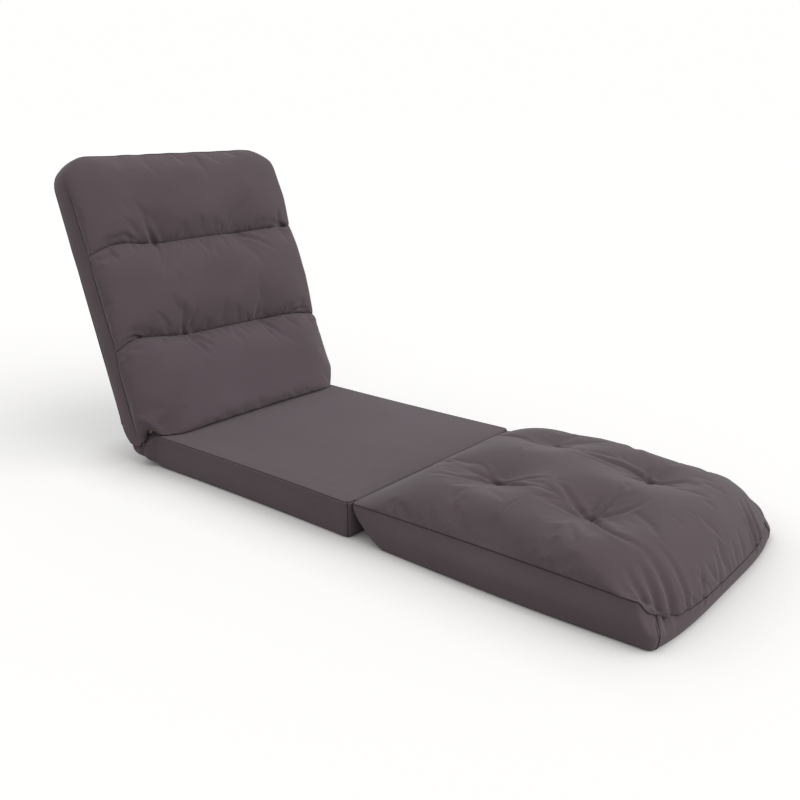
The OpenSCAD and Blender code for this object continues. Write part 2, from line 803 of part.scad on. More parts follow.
module strap_shape(loop, thick) {
    for (u = strap_places) translate([0, u, 0]) {
        translate([-tube_x, -strap_w / 2, -thick / 2]) cube([2 * tube_x, strap_w, thick]);
        for (side = [-1, 1])
            translate([side * tube_x, -strap_w / 2, 0]) y_bar(loop, strap_w);
    }
}

module back_webbing() {
    color("#8f8a83") in_back() difference() {
        strap_shape(loop_r, strap_t);
        for (side = [-1, 1]) translate([side * tube_x, 0, 0])
            y_bar(tube_r + soft_gap, back_bar_u);
    }
}

module back_foam_sheet(low_n, high_n) {
    color("#e3d9a8") in_back() difference() {
        intersection() {
            back_block(cover_gap);
            translate([-back_w / 2, -back_t, low_n])
                cube([back_w, back_len + back_t, high_n - low_n]);
        }
        back_frame_path(tube_r + soft_gap, over);
        strap_shape(loop_r + soft_gap, strap_t);
        hinge_notches(arm_slot_w);
        block_rooms();
        seam_cord_path(cord_d / 2 + soft_gap, 0);
    }
}

// The foam sheets lie face to face with the straps between them
sheet_gap = strap_t / 2 + soft_gap / 2;
module back_foam_front() { back_foam_sheet(sheet_gap, back_t_half - cover_t); }
module back_foam_rear() { back_foam_sheet(-back_t_half, -sheet_gap); }

module back_frame_tube() {
    color("#3a3c3f") in_back() difference() {
        back_frame_path(tube_r, 0);
        back_frame_path(bore_r, over);
        for (side = [-1, 1])
            translate([side * tube_x, back_tube_start + spigot_len / 2, 0])
                x_bar(rivet_d / 2 + run_fit, tube_d + over);
    }
}

module back_frame_rivets() {
    color("#8d9195") in_back() for (side = [-1, 1])
        translate([side * tube_x, back_tube_start + spigot_len / 2, 0])
            x_bar(rivet_d / 2, tube_d);
}

// The cords that pull the two seams in, from the rear sheet's back to the seam
module seam_cord_path(r, shorten) {
    low = -back_t_half + cover_gap + shorten;
    high = back_t_half + seam_lift - pinch_depth - cover_t - fill_gap;
    for (side = [-1, 1]) for (u = [lower_seam, upper_seam])
        translate([side * pinch_x, u, low]) cylinder(r = r, h = high - low, $fn = round_fn);
}

module back_seam_cords() {
    color("#6b6268") in_back() seam_cord_path(cord_d / 2, soft_gap);
}

back_zip_len = back_zip_travel + 2 * slider_len;

module back_zip() {
    color("#3b363a") in_back() translate([-back_zip_len / 2, back_zip_u, -back_t_half]) {
        translate([0, -zip_w / 2, -zip_t]) cube([back_zip_len, zip_w, zip_t]);
        translate([0, -teeth_w / 2, -zip_t - teeth_h]) cube([back_zip_len, teeth_w, teeth_h]);
    }
}

module back_zip_slider() {
    color("#2c2a2c") in_back() translate([-back_zip_travel / 2, back_zip_u, -back_t_half])
        rotate([0, 90, 0]) rotate([90, 0, 0]) slider_body(zip_t + teeth_h);
}

// Leg pad

leg_hinge_y = -seat_len / 2 - hinge_gap;
leg_cols = mark_steps(2 * tuft_x / leg_w, 4, 8);
leg_marks = [tuft_rear / leg_len, tuft_front / leg_len];
leg_rows = concat(
    [for (i = [0:5]) leg_marks[0] * (1 - cos(90 * i / 6))],
    [for (i = [0:5]) lerp(leg_marks[0], leg_marks[1], i / 6)],
    [for (i = [0:8]) lerp(leg_marks[1], 1, sin(90 * i / 8))]
);
leg_at = function (s, t, inset) [
    s * (leg_w / 2 - inset - leg_draw * 4 * t * (1 - t)
        - corner_cut((1 - t) * leg_len, leg_front_r) - corner_cut(t * leg_len, leg_rear_r)),
    leg_hinge_y - inset - t * (leg_len - 2 * inset) - leg_bow * (1 - s * s) * pow(t, 4)
];

// Shares of a hollow of one spread round the tufts, at a place on the pad
function near_tufts(p, spread) = gauss(norm([abs(p[0]) - tuft_x, p[1] - leg_hinge_y + tuft_rear]),
    spread) + gauss(norm([abs(p[0]) - tuft_x, p[1] - leg_hinge_y + tuft_front]), spread);
function tufts(p) = tuft_depth * near_tufts(p, tuft_spread)
    + tuft_pinch * near_tufts(p, tuft_pinch_spread);

// Rise of the leg pad's top above its seam at shares s across and t from hinge to front
function leg_rise(s, t) =
    let (
        rear = t < leg_rise_share ? sin(90 * t / leg_rise_share) : 1,
        fall = (t - leg_fall_share) / (1 - leg_fall_share),
        front = fall > 0 ? dome(fall, leg_front_power) : 1,
        side = dome(s, leg_side_power),
        body = rear * front * side
    )
    body * (leg_crown - tufts(leg_at(s, t, 0)));

module leg_outline(inset) {
    polygon(outline(leg_at, leg_cols, leg_rows, inset));
}

// The pad seen from its side, with its underside rounding up to the hinge
module leg_profile(inset, top_z) {
    steps = 10;
    front_y = leg_hinge_y - leg_len - 2 * leg_bow;
    round_z = leg_seam_h - inset;
    curve = [for (i = [0:steps]) let (
        a = 90 * i / steps,
        along = pow(sin(a), 2 / leg_round_power),
        down = pow(cos(a), 2 / leg_round_power))
        [leg_hinge_y - inset - (leg_round_len - inset) * (1 - down),
            leg_seam_h - round_z * along]];
    polygon(concat([[leg_hinge_y - inset, top_z]], curve, [[front_y, inset], [front_y, top_z]]));
}

module leg_block(inset, low_z, high_z) {
    intersection() {
        translate([0, 0, low_z]) linear_extrude(height = high_z - low_z) leg_outline(inset);
        yz_plate(leg_w) leg_profile(inset, high_z + over);
    }
}

module leg_cover_top() {
    top = [for (r = [len(leg_rows) - 1:-1:0]) [for (s = leg_cols)
        concat(leg_at(s, leg_rows[r], 0), [leg_seam_h + leg_rise(s, leg_rows[r])])]];
    low = [for (row = top) [for (p = row) p - [0, 0, cover_t]]];
    color("#5e555a") skin_solid(top, low);
}

module leg_cover_boxing() {
    color("#4a4348") difference() {
        leg_block(0, base_t, leg_seam_h - cover_t);
        leg_block(cover_t, 0, leg_seam_h + over);
    }
}

// The base ends where the underside starts to round up to the hinge
module leg_cover_base() {
    far = leg_len + leg_w;
    color("#2f2c2f") linear_extrude(height = base_t) intersection() {
        leg_outline(0);
        translate([-far / 2, leg_hinge_y - leg_round_len - far]) square([far, far]);
    }
}

leg_foam_z = leg_seam_h - leg_foam_drop;

module tuft_cord_path(r, low, lower) {
    for (side = [-1, 1]) for (t = leg_marks) {
        y = leg_hinge_y - t * leg_len;
        top = leg_seam_h + leg_rise(2 * tuft_x / leg_w, t) - cover_t - lower;
        translate([side * tuft_x, y, low]) cylinder(r = r, h = top - low, $fn = round_fn);
    }
}

module leg_foam() {
    color("#e3d9a8") difference() {
        leg_block(cover_gap, base_t + soft_gap, leg_foam_z);
        tuft_cord_path(cord_d / 2 + soft_gap, 0, 0);
        tuft_washer_path(washer_d / 2 + soft_gap, washer_t + soft_gap);
    }
}

module leg_fill() {
    cols = fill_steps(leg_cols, 0);
    rows = fill_steps(leg_rows, leg_fall_share);
    inner = [for (r = [len(rows) - 1:-1:0]) rows[r]];
    floor_z = leg_foam_z + soft_gap;
    top = [for (t = inner) [for (s = cols)
        concat(leg_at(s, t, 0), [leg_seam_h + leg_rise(s, t) - cover_t - fill_gap
            - tuft_room * near_tufts(leg_at(s, t, 0), tuft_spread)])]];
    low = [for (row = top) [for (p = row) [p[0], p[1], floor_z]]];
    color("#f0eee8") difference() {
        skin_solid(top, low);
        tuft_cord_path(cord_d / 2 + soft_gap, floor_z - over, -over);
    }
}

module leg_tuft_cords() {
    color("#6b6268") tuft_cord_path(cord_d / 2, base_t + washer_t + 2 * soft_gap, soft_gap);
}

module tuft_washer_path(r, h) {
    for (side = [-1, 1]) for (t = leg_marks)
        translate([side * tuft_x, leg_hinge_y - t * leg_len, base_t + soft_gap])
            cylinder(r = r, h = h, $fn = round_fn);
}

module leg_tuft_washers() {
    color("#1f1e20") tuft_washer_path(washer_d / 2, washer_t);
}

leg_zip_y = leg_hinge_y - leg_len / 2;

module leg_zip() {
    color("#3b363a") {
        side_strip(leg_at, leg_cols, leg_rows, zip_t, leg_zip_y, zip_len, leg_zip_z, zip_w);
        side_strip(leg_at, leg_cols, leg_rows, zip_t + teeth_h, leg_zip_y, zip_len, leg_zip_z,
            teeth_w);
    }
}

module leg_zip_slider() {
    end_share = side_zip_travel / 2 / leg_len;
    side_x = leg_at(1, 1 / 2 - end_share, 0)[0];
    color("#2c2a2c") translate([0, leg_zip_y + side_zip_travel / 2, leg_zip_z])
        slider_body(side_x + zip_t + teeth_h);
}

// The woven tape that joins the seat's and the leg pad's top edges
module leg_hinge_tape() {
    wide = min(seat_w, leg_w) - 2 * seat_corner_r;
    thick = hinge_gap - 2 * run_fit;
    color("#3f393d") translate([-wide / 2, -seat_len / 2 - run_fit - thick, seat_h - tape_w])
        cube([wide, thick, tape_w]);
}

seat_cover_top();
seat_cover_boxing();
seat_cover_base();
seat_foam_upper();
seat_foam_lower();
seat_frame_tube();
seat_cross_tubes();
seat_zip();
seat_zip_slider();
ratchet_housing_left();
ratchet_housing_right();
pivot_rivet_left();
pivot_rivet_right();
pawl_pin_left();
pawl_pin_right();
pawl_spring_left();
pawl_spring_right();
ratchet_pawl_left();
ratchet_pawl_right();
ratchet_sector_left();
ratchet_sector_right();
seat_frame_rivets();
back_frame_rivets();
crease_roll();
crease_gutter();
leg_hinge_tape();
back_cover_front();
back_cover_boxing();
back_cover_rear();
back_fill_lower();
back_fill_middle();
back_fill_upper();
back_foam_front();
back_foam_rear();
back_frame_tube();
back_webbing();
back_seam_cords();
back_zip();
back_zip_slider();
leg_cover_top();
leg_cover_boxing();
leg_cover_base();
leg_fill();
leg_foam();
leg_tuft_cords();
leg_tuft_washers();
leg_zip();
leg_zip_slider();
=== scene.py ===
# %% [markdown]
# A folding floor chair has no legs. It is three cushions that lie on the floor, joined by cloth:
# a back that leans on hidden click hinges, a flat seat, and a leg pad with four tufts. The frame
# that this script loads already holds every piece at its real size and place, so here each soft
# piece is made again as cloth, with its swell, seams and folds, and each surface gets its finish.

# %% Load the frame
import json
import math
import bpy
import numpy as np
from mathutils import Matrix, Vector, noise


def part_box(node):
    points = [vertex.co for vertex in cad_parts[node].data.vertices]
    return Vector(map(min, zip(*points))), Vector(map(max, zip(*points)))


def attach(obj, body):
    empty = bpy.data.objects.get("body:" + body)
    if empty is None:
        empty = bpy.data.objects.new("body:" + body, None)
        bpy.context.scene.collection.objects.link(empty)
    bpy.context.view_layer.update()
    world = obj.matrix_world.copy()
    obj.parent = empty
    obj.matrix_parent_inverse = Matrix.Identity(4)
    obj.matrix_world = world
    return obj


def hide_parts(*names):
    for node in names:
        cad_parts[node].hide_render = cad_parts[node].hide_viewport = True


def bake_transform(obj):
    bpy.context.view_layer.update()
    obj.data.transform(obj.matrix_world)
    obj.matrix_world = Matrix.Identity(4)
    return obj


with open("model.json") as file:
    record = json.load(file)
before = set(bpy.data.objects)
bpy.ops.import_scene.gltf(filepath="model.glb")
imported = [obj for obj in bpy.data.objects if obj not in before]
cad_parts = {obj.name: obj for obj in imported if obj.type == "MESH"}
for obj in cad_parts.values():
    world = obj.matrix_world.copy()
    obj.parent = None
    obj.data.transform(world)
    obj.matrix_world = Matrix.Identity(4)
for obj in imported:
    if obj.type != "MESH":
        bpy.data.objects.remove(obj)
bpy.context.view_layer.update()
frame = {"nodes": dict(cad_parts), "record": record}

# %% [markdown]
# Sizes come from the frame, so that nothing is measured twice. A joint gives the place that a
# cushion turns about. Lengths that only the cloth has, such as the depth of a fold, are named
# where they are first used.

# %% Places and sizes of the three cushions
MM = 0.001
SEAT_HIGH = np.array(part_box("seat_cover_top")[1])
LEG_LOW, LEG_HIGH = [np.array(corner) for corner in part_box("leg_cover_top")]
JOINTS = {joint["name"]: joint for joint in frame["record"]["behaviour"]["joints"]}
PIVOT_Y, PIVOT_Z = JOINTS["back_recline"]["pos_m"][1:]
LEAN = math.radians(-JOINTS["back_recline"]["range_deg"][0])
TILT = math.pi / 2 - LEAN
SEAT_HALF_W = 275 * MM
SEAT_HALF_L = SEAT_HIGH[1]
LEG_HALF_W = 268 * MM
HINGE_Y = LEG_HIGH[1]
COVER_T = 1.5 * MM
SEAT_H = 75 * MM
LEG_SEAM_H = LEG_LOW[2] + COVER_T
BACK_LEN = 664 * MM
BACK_HALF_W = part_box("back_cover_front")[1][0]
BACK_HALF_T = 30 * MM
print(f"lean {math.degrees(LEAN):.1f} degrees, leg seam at {LEG_SEAM_H:.3f} m")

# %% [markdown]
# Stuffed cloth swells into a few simple shapes: a dome between two seams, a round hollow at a
# tuft, a rounded corner. Written as functions of numpy arrays, each of them shapes a whole grid of
# points in one call.

# %% Shapes of stuffed cloth
FINE_STEPS = 2000
SPLINE_STEPS = 24


def lerp(a, b, share):
    return a + (b - a) * share


def smooth(share):
    share = np.clip(share, 0, 1)
    return share * share * (3 - 2 * share)


def ramp(value, start, length):
    """Rises smoothly from 0 at the start to 1 a length further."""
    return smooth((value - start) / length)


def dome(share, power):
    return np.sqrt(np.clip(1 - np.abs(share) ** power, 0, 1))


def bell(distance, spread):
    return np.exp(-distance ** 2 / (2 * spread ** 2))


def corner_cut(distance, radius):
    inside = np.clip(radius - distance, 0, radius)
    return radius - np.sqrt(radius ** 2 - inside ** 2)


def walked_along(line):
    """The length walked from the start of a line to each of its points."""
    steps = np.linalg.norm(np.diff(line, axis=0), axis=1)
    return np.concatenate([[0], np.cumsum(steps)])


def even_steps(curve, low, high, count):
    """Shares from low to high at which points on a plane curve lie evenly spaced."""
    shares = np.linspace(low, high, FINE_STEPS)
    walked = walked_along(np.stack(curve(shares), axis=-1))
    return np.interp(np.linspace(0, walked[-1], count), walked, shares)


def evenly(line, count):
    """The same line in evenly spaced points."""
    walked = walked_along(line)
    even = np.linspace(0, walked[-1], count)
    return np.stack([np.interp(even, walked, axis) for axis in line.T], axis=-1)


def spline(knots, count):
    """A smooth curve through the knots, in evenly spaced points."""
    knots = np.array(knots, float)
    first = 2 * knots[:1] - knots[1:2]
    last = 2 * knots[-1:] - knots[-2:-1]
    chain = np.concatenate([first, knots, last])
    t = np.linspace(0, 1, SPLINE_STEPS, endpoint=False)[:, None]
    pieces = []
    for a, b, c, d in zip(chain, chain[1:], chain[2:], chain[3:]):
        bend = 2 * a - 5 * b + 4 * c - d + t * (3 * (b - c) + d - a)
        pieces.append(b + 0.5 * t * (c - a + t * bend))
    return evenly(np.concatenate(pieces + [knots[-1:]]), count)


def calmed(line, times):
    """The same line smoothed a number of times, with its two ends where they were."""
    line = line.copy()
    for _ in range(times):
        line[1:-1] = (line[:-2] + 2 * line[1:-1] + line[2:]) / 4
    return line


def refined(points):
    """The same grid with one more point between each two, on smooth curves."""
    for axis in (0, 1):
        points = np.moveaxis(points, axis, 0)
        before = 2 * points[:1] - points[1:2]
        after = 2 * points[-1:] - points[-2:-1]
        chain = np.concatenate([before, points, after])
        middles = (9 * (chain[1:-2] + chain[2:-1]) - chain[:-3] - chain[3:]) / 16
        finer = np.empty((2 * len(points) - 1, *points.shape[1:]))
        finer[::2] = points
        finer[1::2] = middles
        points = np.moveaxis(finer, 0, axis)
    return points


def ripple(points, length, seed):
    """Smooth seeded noise, about -1 to 1, at each point of a grid."""
    flat = points.reshape(-1, 3) / length + seed
    values = [noise.noise(Vector(p)) for p in flat]
    return np.array(values).reshape(points.shape[:-1])


print("a dome half way to its edge is", round(float(dome(0.5, 3)), 3), "of its height")

# %% [markdown]
# Every cloth surface here starts as a grid of points, so one helper turns a grid into a mesh.
# Its faces look outwards where the rows' direction crossed with the columns' points outwards.
# A Subdivision modifier smooths it and a Solidify modifier gives the cloth its thickness, inwards,
# so the outer face stays where it was modelled. Modifiers stay editable. The few cloths that cross
# a joint have them applied at once.

# %% From a grid of points to a piece of cloth
def placed(name, data):
    """A new object in the scene, made of a mesh, a lamp or a camera."""
    made = bpy.data.objects.new(name, data)
    bpy.context.scene.collection.objects.link(made)
    return made


def mesh_piece(name, points, faces, rounded=True):
    mesh = bpy.data.meshes.new(name)
    corners = [[int(corner) for corner in face] for face in faces]
    mesh.from_pydata(np.reshape(points, (-1, 3)).tolist(), [], corners)
    if rounded:
        mesh.shade_smooth()
    return placed(name, mesh)


def squares(index):
    """The four corners of each square in a grid of point numbers."""
    corners = [index[:-1, :-1], index[1:, :-1], index[1:, 1:], index[:-1, 1:]]
    return np.stack(corners, axis=-1).reshape(-1, 4)


def grid_mesh(name, points, keep=None, wrap=False, capped=False):
    """A piece with a square between each four points, or only where keep is true."""
    rows, cols = points.shape[:2]
    index = np.arange(rows * cols).reshape(rows, cols)
    caps = [index[0, ::-1], index[-1]] if capped else []
    if wrap:
        index = np.concatenate([index, index[:, :1]], axis=1)
    faces = squares(index)
    if keep is not None:
        faces = faces[keep.ravel()]
    return mesh_piece(name, points, [*faces, *caps])


def as_cloth(piece, thickness=COVER_T, levels=1):
    """Smooths a piece and makes it as thick as cloth, both with modifiers."""
    if levels:
        rounding = piece.modifiers.new("rounding", "SUBSURF")
        rounding.levels = levels
        rounding.render_levels = levels
    cloth = piece.modifiers.new("cloth", "SOLIDIFY")
    cloth.thickness = thickness
    cloth.offset = -1
    return piece


def finished(piece, material, body=None):
    """Gives a piece its material and the body that it rides on."""
    piece.data.materials.clear()
    piece.data.materials.append(material)
    if body:
        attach(piece, body)
    return piece


def apply_modifiers(piece):
    """Turns what a piece's modifiers make of it into its own mesh."""
    bpy.context.view_layer.update()
    graph = bpy.context.evaluated_depsgraph_get()
    mesh = bpy.data.meshes.new_from_object(piece.evaluated_get(graph))
    piece.modifiers.clear()
    piece.data = mesh


print("cover cloth is", COVER_T * 1000, "mm thick")

# %% [markdown]
# A seam is where two panels turn inwards together. Each panel gets an extra ring of points round
# its edge that dives between the panels, which leaves a fine groove, and a thread lies in it.
# The groove reads as the dark line that real seams show, and it holds up close.

# %% Turned edges and threads
SEAM_DEPTH = 3.0 * MM
SEAM_NARROW = 0.8 * MM
LIP_DEPTH = 0.3
LIP_NARROW = 0.2


def unit(vectors):
    length = np.linalg.norm(vectors, axis=-1, keepdims=True)
    return vectors / np.maximum(length, 1e-9)


def grid_normals(points):
    down = np.gradient(points, axis=0)
    across = np.gradient(points, axis=1)
    return unit(np.cross(down, across))


def steps_along(line, closed=False):
    """The way that a line runs at each of its points."""
    if closed:
        return np.roll(line, -1, axis=0) - np.roll(line, 1, axis=0)
    return np.gradient(line, axis=0)


def outward_of(line, closed=False):
    """Level directions out of a line that runs anticlockwise seen from above."""
    along = unit(steps_along(line, closed) * [1, 1, 0])
    return np.stack([along[:, 1], -along[:, 0], np.zeros(len(line))], axis=-1)


def turned_edges(points, sides, inward):
    """Adds rows or columns on the named sides that turn down, along inward, into the seam."""
    inward = np.array(inward) * SEAM_DEPTH
    sunk = np.zeros((*points.shape[:2], 1))
    for side in sides:
        axis = 0 if side in ("first_row", "last_row") else 1
        last = side.startswith("last")
        edge = np.take(points, [-1 if last else 0], axis=axis)
        beside = np.take(points, [-2 if last else 1], axis=axis)
        edge_sunk = np.take(sunk, [-1 if last else 0], axis=axis)
        back = unit(beside - edge) * SEAM_NARROW
        lip_sunk = np.maximum(edge_sunk, LIP_DEPTH)
        ring_sunk = np.maximum(edge_sunk, 1.0)
        lip = edge + back * LIP_NARROW + inward * (lip_sunk - edge_sunk)
        ring = edge + back + inward * (ring_sunk - edge_sunk)
        points = np.concatenate([points, lip, ring] if last else [ring, lip, points], axis=axis)
        sunk = np.concatenate(
            [sunk, lip_sunk, ring_sunk] if last else [ring_sunk, lip_sunk, sunk], axis=axis)
    return points


def tube_mesh(name, path, radius, sides=6, closed=False):
    """A round thread or cord along a list of points."""
    path = np.array(path)
    ahead = unit(steps_along(path, closed))
    helper = np.where(np.abs(ahead[:, 2:]) > 0.9, [[1.0, 0, 0]], [[0, 0, 1.0]])
    side = unit(np.cross(ahead, helper))
    up = np.cross(side, ahead)
    turns = np.linspace(0, 2 * math.pi, sides, endpoint=False)
    rings = path[:, None] + radius * (
        np.cos(turns)[None, :, None] * side[:, None] + np.sin(turns)[None, :, None] * up[:, None]
    )
    if closed:
        rings = np.concatenate([rings, rings[:1]])
    return grid_mesh(name, rings, wrap=True, capped=not closed)


print("a seam is", SEAM_DEPTH * 1000, "mm deep")

# %% [markdown]
# The small folds of a stuffed panel are not drawn by hand. The cover is cut a little larger than
# the space it fills, it is held at its seams and tufts, and Blender's Cloth simulation blows it up
# from inside, so the spare cloth gathers as it does in a real cushion. The simulation starts from
# a shape that is already close, and a cap on the movement keeps it in its place.

# %% Let a held panel swell
CLOTH = {
    "quality": 7,
    "mass": 0.3,
    "air_damping": 2.0,
    "tension_stiffness": 25,
    "compression_stiffness": 25,
    "shear_stiffness": 12,
    "tension_damping": 8,
    "compression_damping": 8,
    "shear_damping": 8,
    "bending_damping": 1.0,
}


def swell(points, held, pressure, slack, frames, cap, bending):
    """Simulates a grid of cloth held where held is 1, and gives back the settled grid."""
    piece = grid_mesh("swelling_cloth", points)
    group = piece.vertex_groups.new(name="held")
    for index, weight in enumerate(held.ravel()):
        if weight > 0:
            group.add([index], float(weight), "REPLACE")
    cloth = piece.modifiers.new("cloth", "CLOTH")
    settings = cloth.settings
    for setting, value in CLOTH.items():
        setattr(settings, setting, value)
    settings.bending_stiffness = bending
    settings.vertex_group_mass = "held"
    settings.shrink_min = -slack
    settings.use_pressure = True
    settings.uniform_pressure_force = pressure
    settings.effector_weights.gravity = 0
    cloth.collision_settings.use_collision = False
    cloth.point_cache.frame_start = 1
    cloth.point_cache.frame_end = frames
    scene = bpy.context.scene
    for step in range(1, frames + 1):
        scene.frame_set(step)
    graph = bpy.context.evaluated_depsgraph_get()
    settled = piece.evaluated_get(graph).to_mesh()
    found = np.empty(len(settled.vertices) * 3)
    settled.vertices.foreach_get("co", found)
    piece.evaluated_get(graph).to_mesh_clear()
    bpy.data.objects.remove(piece)
    scene.frame_set(1)
    moved = found.reshape(points.shape) - points
    far = np.linalg.norm(moved, axis=-1, keepdims=True)
    print(f"cloth moved up to {far.max() * 1000:.1f} mm, {far.mean() * 1000:.1f} mm on average")
    return points + moved * cap * np.tanh(far / cap) / np.maximum(far, 1e-9)


print("simulations are", "run")

# %% [markdown]
# The longest folds lie where the photograph shows them, so they are pressed into the settled
# cloth one by one. Each is a path with a width and a depth: a valley with a soft roll on each side,
# deep where it leaves the tuft or seam and gone at its far end.

# %% Press folds into a panel
FOLD_POINTS = 40
FOLD_CALM = 4
FOLD_REACH = 4
VALLEY_SPREAD = 0.75
ROLL_HEIGHT = 0.45
ROLL_AWAY = 1.9
ROLL_SPREAD = 0.8


def creased(points, folds):
    """The same panel with folds in it, each a path, a width and a depth in millimetres."""
    flat = points.reshape(-1, 3)
    lift = np.zeros(len(flat))
    for path, width, depth in folds:
        width = width * MM
        line = spline(path, FOLD_POINTS) * MM
        nearest = [int(np.argmin(np.hypot(*(flat[:, :2] - spot).T))) for spot in line]
        spots = calmed(flat[nearest], FOLD_CALM)
        reach = FOLD_REACH * width
        boxed = (flat > spots.min(axis=0) - reach) & (flat < spots.max(axis=0) + reach)
        near = np.flatnonzero(boxed.all(axis=1))
        gaps = np.linalg.norm(flat[near, None] - spots[None], axis=-1)
        share = gaps.argmin(axis=1) / (len(spots) - 1)
        gap = gaps.min(axis=1) / width
        fade = (1 - share) ** 0.8 * smooth(share * 14 + 0.5)
        roll = ROLL_HEIGHT * bell(gap - ROLL_AWAY, ROLL_SPREAD)
        lift[near] += depth * MM * fade * (roll - bell(gap, VALLEY_SPREAD))
    return points + grid_normals(points) * lift.reshape(*points.shape[:2], 1)


print("a fold's soft rolls lie", ROLL_AWAY, "times its width beside it")

# %% [markdown]
# Shader maths reads best as plain expressions. This small class wraps a node's output, and its
# operators add Math nodes, so that a mask can be written as 1 - dots * 0.5. Everything else goes
# through one method that takes a node's type, its settings and the values of its sockets.

# %% A material written as expressions
class Value:
    """A number that varies over a surface, as the output of a node."""

    def __init__(self, finish, socket):
        self.finish = finish
        self.socket = socket

    def maths(self, operation, first, second):
        return self.finish.node("ShaderNodeMath", {"operation": operation}, {0: first, 1: second})

    def __add__(self, other):
        return self.maths("ADD", self, other)

    def __sub__(self, other):
        return self.maths("SUBTRACT", self, other)

    def __rsub__(self, other):
        return self.maths("SUBTRACT", other, self)

    def __mul__(self, other):
        return self.maths("MULTIPLY", self, other)

    __radd__ = __add__
    __rmul__ = __mul__


class Finish:
    """One material under construction."""

    def __init__(self, name, **surface):
        self.material = bpy.data.materials.new(name)
        self.material.use_nodes = True
        self.tree = self.material.node_tree
        self.shader = self.tree.nodes["Principled BSDF"]
        for socket, value in surface.items():
            self.shader.inputs[socket.replace("_", " ")].default_value = value
        coordinates = self.tree.nodes.new("ShaderNodeTexCoord")
        self.place = Value(self, coordinates.outputs["Object"])

    def node(self, kind, settings=None, values=None, out=0):
        made = self.tree.nodes.new(kind)
        for key, setting in (settings or {}).items():
            setattr(made, key, setting)
        for key, value in (values or {}).items():
            self.plug(made.inputs[key], value)
        return Value(self, made.outputs[out])

    def plug(self, socket, value):
        if isinstance(value, Value):
            self.tree.links.new(value.socket, socket)
        else:
            socket.default_value = value

    def moved(self, scale=(1, 1, 1), turn=(0, 0, 0)):
        return self.node("ShaderNodeMapping", {}, {"Vector": self.place, "Scale": scale, "Rotation": turn})

    def clouds(self, scale, detail=3.0, place=None, rough=0.5):
        return self.node(
            "ShaderNodeTexNoise",
            {},
            {"Vector": place or self.place, "Scale": scale, "Detail": detail, "Roughness": rough},
        )

    def threads(self, scale, place, direction):
        return self.node(
            "ShaderNodeTexWave",
            {"wave_type": "BANDS", "bands_direction": direction, "wave_profile": "SIN"},
            {"Vector": place, "Scale": scale, "Distortion": 0.0},
        )

    def colours(self, share, dark, light):
        return self.node(
            "ShaderNodeMix",
            {"data_type": "RGBA"},
            {0: share, 6: (*dark, 1), 7: (*light, 1)},
            out=2,
        )

    def set(self, **links):
        for socket, value in links.items():
            self.plug(self.shader.inputs[socket.replace("_", " ")], value)

    def bump(self, height, strength, distance):
        bump = self.node(
            "ShaderNodeBump", {}, {"Height": height, "Strength": strength, "Distance": distance}
        )
        self.plug(self.shader.inputs["Normal"], bump)


def linear(red, green, blue):
    """A colour as seen on the screen, 0 to 255, in the linear light that shaders use."""
    values = np.array([red, green, blue]) / 255
    low = values / 12.92
    high = ((values + 0.055) / 1.055) ** 2.4
    return tuple(float(x) for x in np.where(values <= 0.04045, low, high))


print("0.5 on the screen is", round(linear(128, 128, 128)[0], 3), "in linear light")

# %% [markdown]
# The cover is a matt polyester in one grey-mauve dye. Close up it is a plain weave of fine
# threads; further off there are only soft clouds of tone where the nap lies differently. Two
# crossed bands of waves make the weave, and both go into bump and a little into colour. The
# seam thread is the same finish in a darker tone, which is painted shade that darkens the seams.

# %% Cover cloth and thread
WEAVE_PITCH = 0.8 * MM
WAVE_UNIT = 20.0
WEAVE_TURN = math.radians(40)
COVER_ROUGH = 0.81


def weave_of(finish, pitch=WEAVE_PITCH):
    """Height of a plain weave, 0 to 1, whichever way the panel faces."""
    scale = 2 * math.pi / pitch / WAVE_UNIT
    level = finish.moved(turn=(WEAVE_TURN, 0, 0))
    warp = finish.threads(scale, level, "X")
    weft = finish.threads(scale, level, "Y")
    return warp * 0.5 + weft * 0.5


def cover_finish(name, dark, light):
    finish = Finish(name, Sheen_Weight=0.18, Sheen_Roughness=0.5, Specular_IOR_Level=0.25)
    weave = weave_of(finish)
    nap = finish.clouds(7.0, 4.0)
    lint = finish.clouds(900.0, 2.0)
    tone = nap * 0.7 + lint * 0.14 + weave * 0.16
    finish.set(Base_Color=finish.colours(tone, dark, light), Roughness=nap * 0.1 + COVER_ROUGH)
    finish.bump(weave * 0.8 + lint * 0.5, 0.35, 0.25 * MM)
    return finish.material


COVER = cover_finish("grey_mauve_cover", linear(86, 74, 80), linear(107, 95, 101))
# The seam thread's dark tone is painted shade: it makes each seam's groove read as a dark line.
SEAM_SHADE_THREAD = cover_finish("seam_thread_painted_shade", linear(38, 32, 36), linear(52, 45, 49))
print("cover and thread:", COVER.name, "and", SEAM_SHADE_THREAD.name)

# %% [markdown]
# Under the seat and the leg pad lies a dark non-slip cloth: small drops of rubber in even rows on a
# coarser weave. A Voronoi texture without randomness gives the rows, and the drops are smoother
# and darker than the cloth between them.

# %% Non-slip base cloth
DOTS_PER_M = 120.0
DOT_EDGE = (0.22, 0.3)
BASE_PITCH = 1.2 * MM


